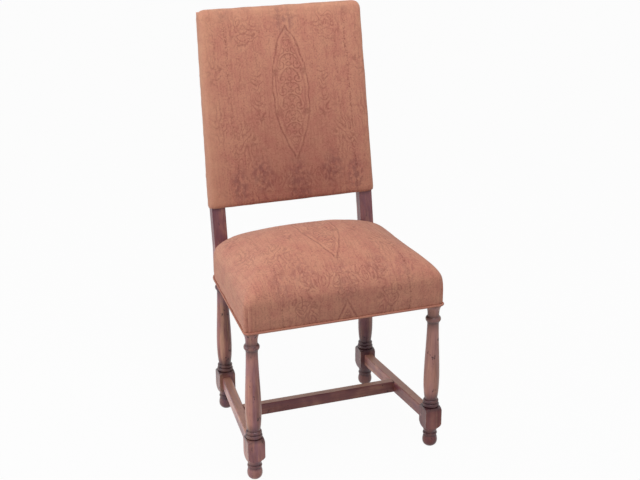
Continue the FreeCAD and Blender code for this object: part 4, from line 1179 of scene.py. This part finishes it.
def paint_frame():
    post = Tint(WALNUT_POST, 0.68, 2, 0.44, 0.54)
    tints = {
        "front_leg_left": [Tint(WALNUT_TAN, 0.10, 2, 0.14, 0.20)],
        "front_leg_right": [Tint(WALNUT_RED, 0.85, 2, 0.17, 0.11), Tint(WALNUT_TAN, 0.38, 2, 0.13, 0.20)],
        "rear_leg_left": [Tint(WALNUT_GRIME_AND_SHADE, 0.35, 2, 0.22, 0.12), post],
        "rear_leg_right": [Tint(WALNUT_RED, 0.40, 2, 0.47, 0.40), Tint(WALNUT_GRIME_AND_SHADE, 0.42, 2, 0.27, 0.16),
                           post],
        "side_stretcher_left": [],
        "side_stretcher_right": [Tint(WALNUT_RED, 0.60, 1, -0.02, -0.08)],
        "medial_stretcher": [Tint(WALNUT_RED, 0.75, 2, 1.0, 0.9)],
        "stretcher_pegs": [],
    }
    for name, piece_tints in tints.items():
        grain = 2 if "leg" in name else 1 if "side" in name else 0
        paint_nodes(walnut("walnut_" + name, grain, "leg" in name, piece_tints), [name])
    rails = ["front_seat_rail", "rear_seat_rail", "back_top_rail", "back_bottom_rail", "seat_rail_pegs"]
    blocks = pair("side_seat_rail") + pair("front_corner_block") + pair("rear_corner_block")
    paint_nodes(frame_beech(), rails + blocks)
    jute = plain_weave("jute_webbing", srgb(176, 146, 104), srgb(112, 86, 56), 0.0030, 0.0006)
    paint_nodes(jute, ["seat_webbing_lengthwise", "seat_webbing_crosswise"])
    paint_nodes(jute, ["back_webbing_upright", "back_webbing_crosswise"])
    hessian = plain_weave("hessian", srgb(186, 160, 120), srgb(120, 96, 66), 0.0022, 0.0004)
    paint_nodes(hessian, ["seat_hessian", "back_hessian"])
    paint_nodes(steel(), ["corner_block_screws", "dust_cover_tacks"])


# Stage

def make_camera():
    a, e, r = CAMERA_AZIMUTH, CAMERA_ELEVATION, CAMERA_ROLL
    back = Vector((math.sin(a) * math.cos(e), -math.cos(a) * math.cos(e), math.sin(e)))
    right = Vector((math.cos(a), math.sin(a), 0.0))
    up = back.cross(right)
    level = right * math.cos(r) + up * math.sin(r)
    upright = up * math.cos(r) - right * math.sin(r)
    camera = bpy.data.objects.new("camera", bpy.data.cameras.new("camera"))
    bpy.context.scene.collection.objects.link(camera)
    camera.data.lens = CAMERA_LENS
    camera.data.sensor_width = CAMERA_SENSOR
    turn = Matrix((level, upright, back)).transposed()
    camera.matrix_world = Matrix.Translation(CAMERA_TARGET + back * CAMERA_DISTANCE) @ turn.to_4x4()
    bpy.context.scene.camera = camera


def seen_directly(tree):
    """1 where a ray comes from the camera, a mirror or glass."""
    path = tree.nodes.new("ShaderNodeLightPath")
    rays = ("Is Camera Ray", "Is Glossy Ray", "Is Transmission Ray")
    return strongest([Wire(tree, path.outputs[ray]) for ray in rays])


def make_floor():
    """Pale floor that keeps the chair's soft shadow."""
    corners = [(x * FLOOR_HALF, y * FLOOR_HALF, 0) for x, y in ((-1, -1), (1, -1), (1, 1), (-1, 1))]
    floor = new_piece("floor", corners, [(0, 1, 2, 3)])
    material = bpy.data.materials.new("floor")
    material.use_nodes = True
    tree = material.node_tree
    shader = tree.nodes["Principled BSDF"]
    shader.inputs["Base Color"].default_value = (FLOOR_GREY, FLOOR_GREY, FLOOR_GREY, 1.0)
    shader.inputs["Roughness"].default_value = 0.9
    shader.inputs["Specular IOR Level"].default_value = 0.1
    glow = tree.nodes.new("ShaderNodeEmission")
    mix = tree.nodes.new("ShaderNodeMixShader")
    tree.links.new((seen_directly(tree) * FLOOR_GLOW).socket, mix.inputs[0])
    tree.links.new(shader.outputs[0], mix.inputs[1])
    tree.links.new(glow.outputs[0], mix.inputs[2])
    tree.links.new(mix.outputs[0], tree.nodes["Material Output"].inputs["Surface"])
    floor.data.materials.append(material)


def make_world():
    """White surroundings, whose light is stronger from the left."""
    world = bpy.data.worlds.new("studio")
    world.use_nodes = True
    bpy.context.scene.world = world
    tree = world.node_tree
    background = tree.nodes["Background"]
    direction = tree.nodes.new("ShaderNodeTexCoord")
    rightwards = split(tree, direction.outputs["Generated"])[0]
    ambient = rightwards * (-AMBIENT * AMBIENT_SLOPE) + AMBIENT
    strength = seen_directly(tree).math("MULTIPLY_ADD", ambient * -1.0 + 1.0, ambient)
    background.inputs["Color"].default_value = (1.0, 1.0, 1.0, 1.0)
    tree.links.new(strength.socket, background.inputs["Strength"])


def make_light(name, place, size, power, colour):
    light = bpy.data.lights.new(name, "AREA")
    light.shape = "DISK"
    light.size = size
    light.energy = power
    light.color = colour
    lamp = bpy.data.objects.new(name, light)
    bpy.context.scene.collection.objects.link(lamp)
    lamp.location = place
    lamp.rotation_euler = (LIGHT_AIM - Vector(place)).to_track_quat("-Z", "Y").to_euler()


make_camera()
make_world()
for lamp in LIGHTS:
    make_light(*lamp)
make_floor()
paint_frame()
make_seat()
make_welt()
make_back()
make_outside_back()
make_dust_cover()
bpy.context.scene.view_settings.view_transform = "Standard"
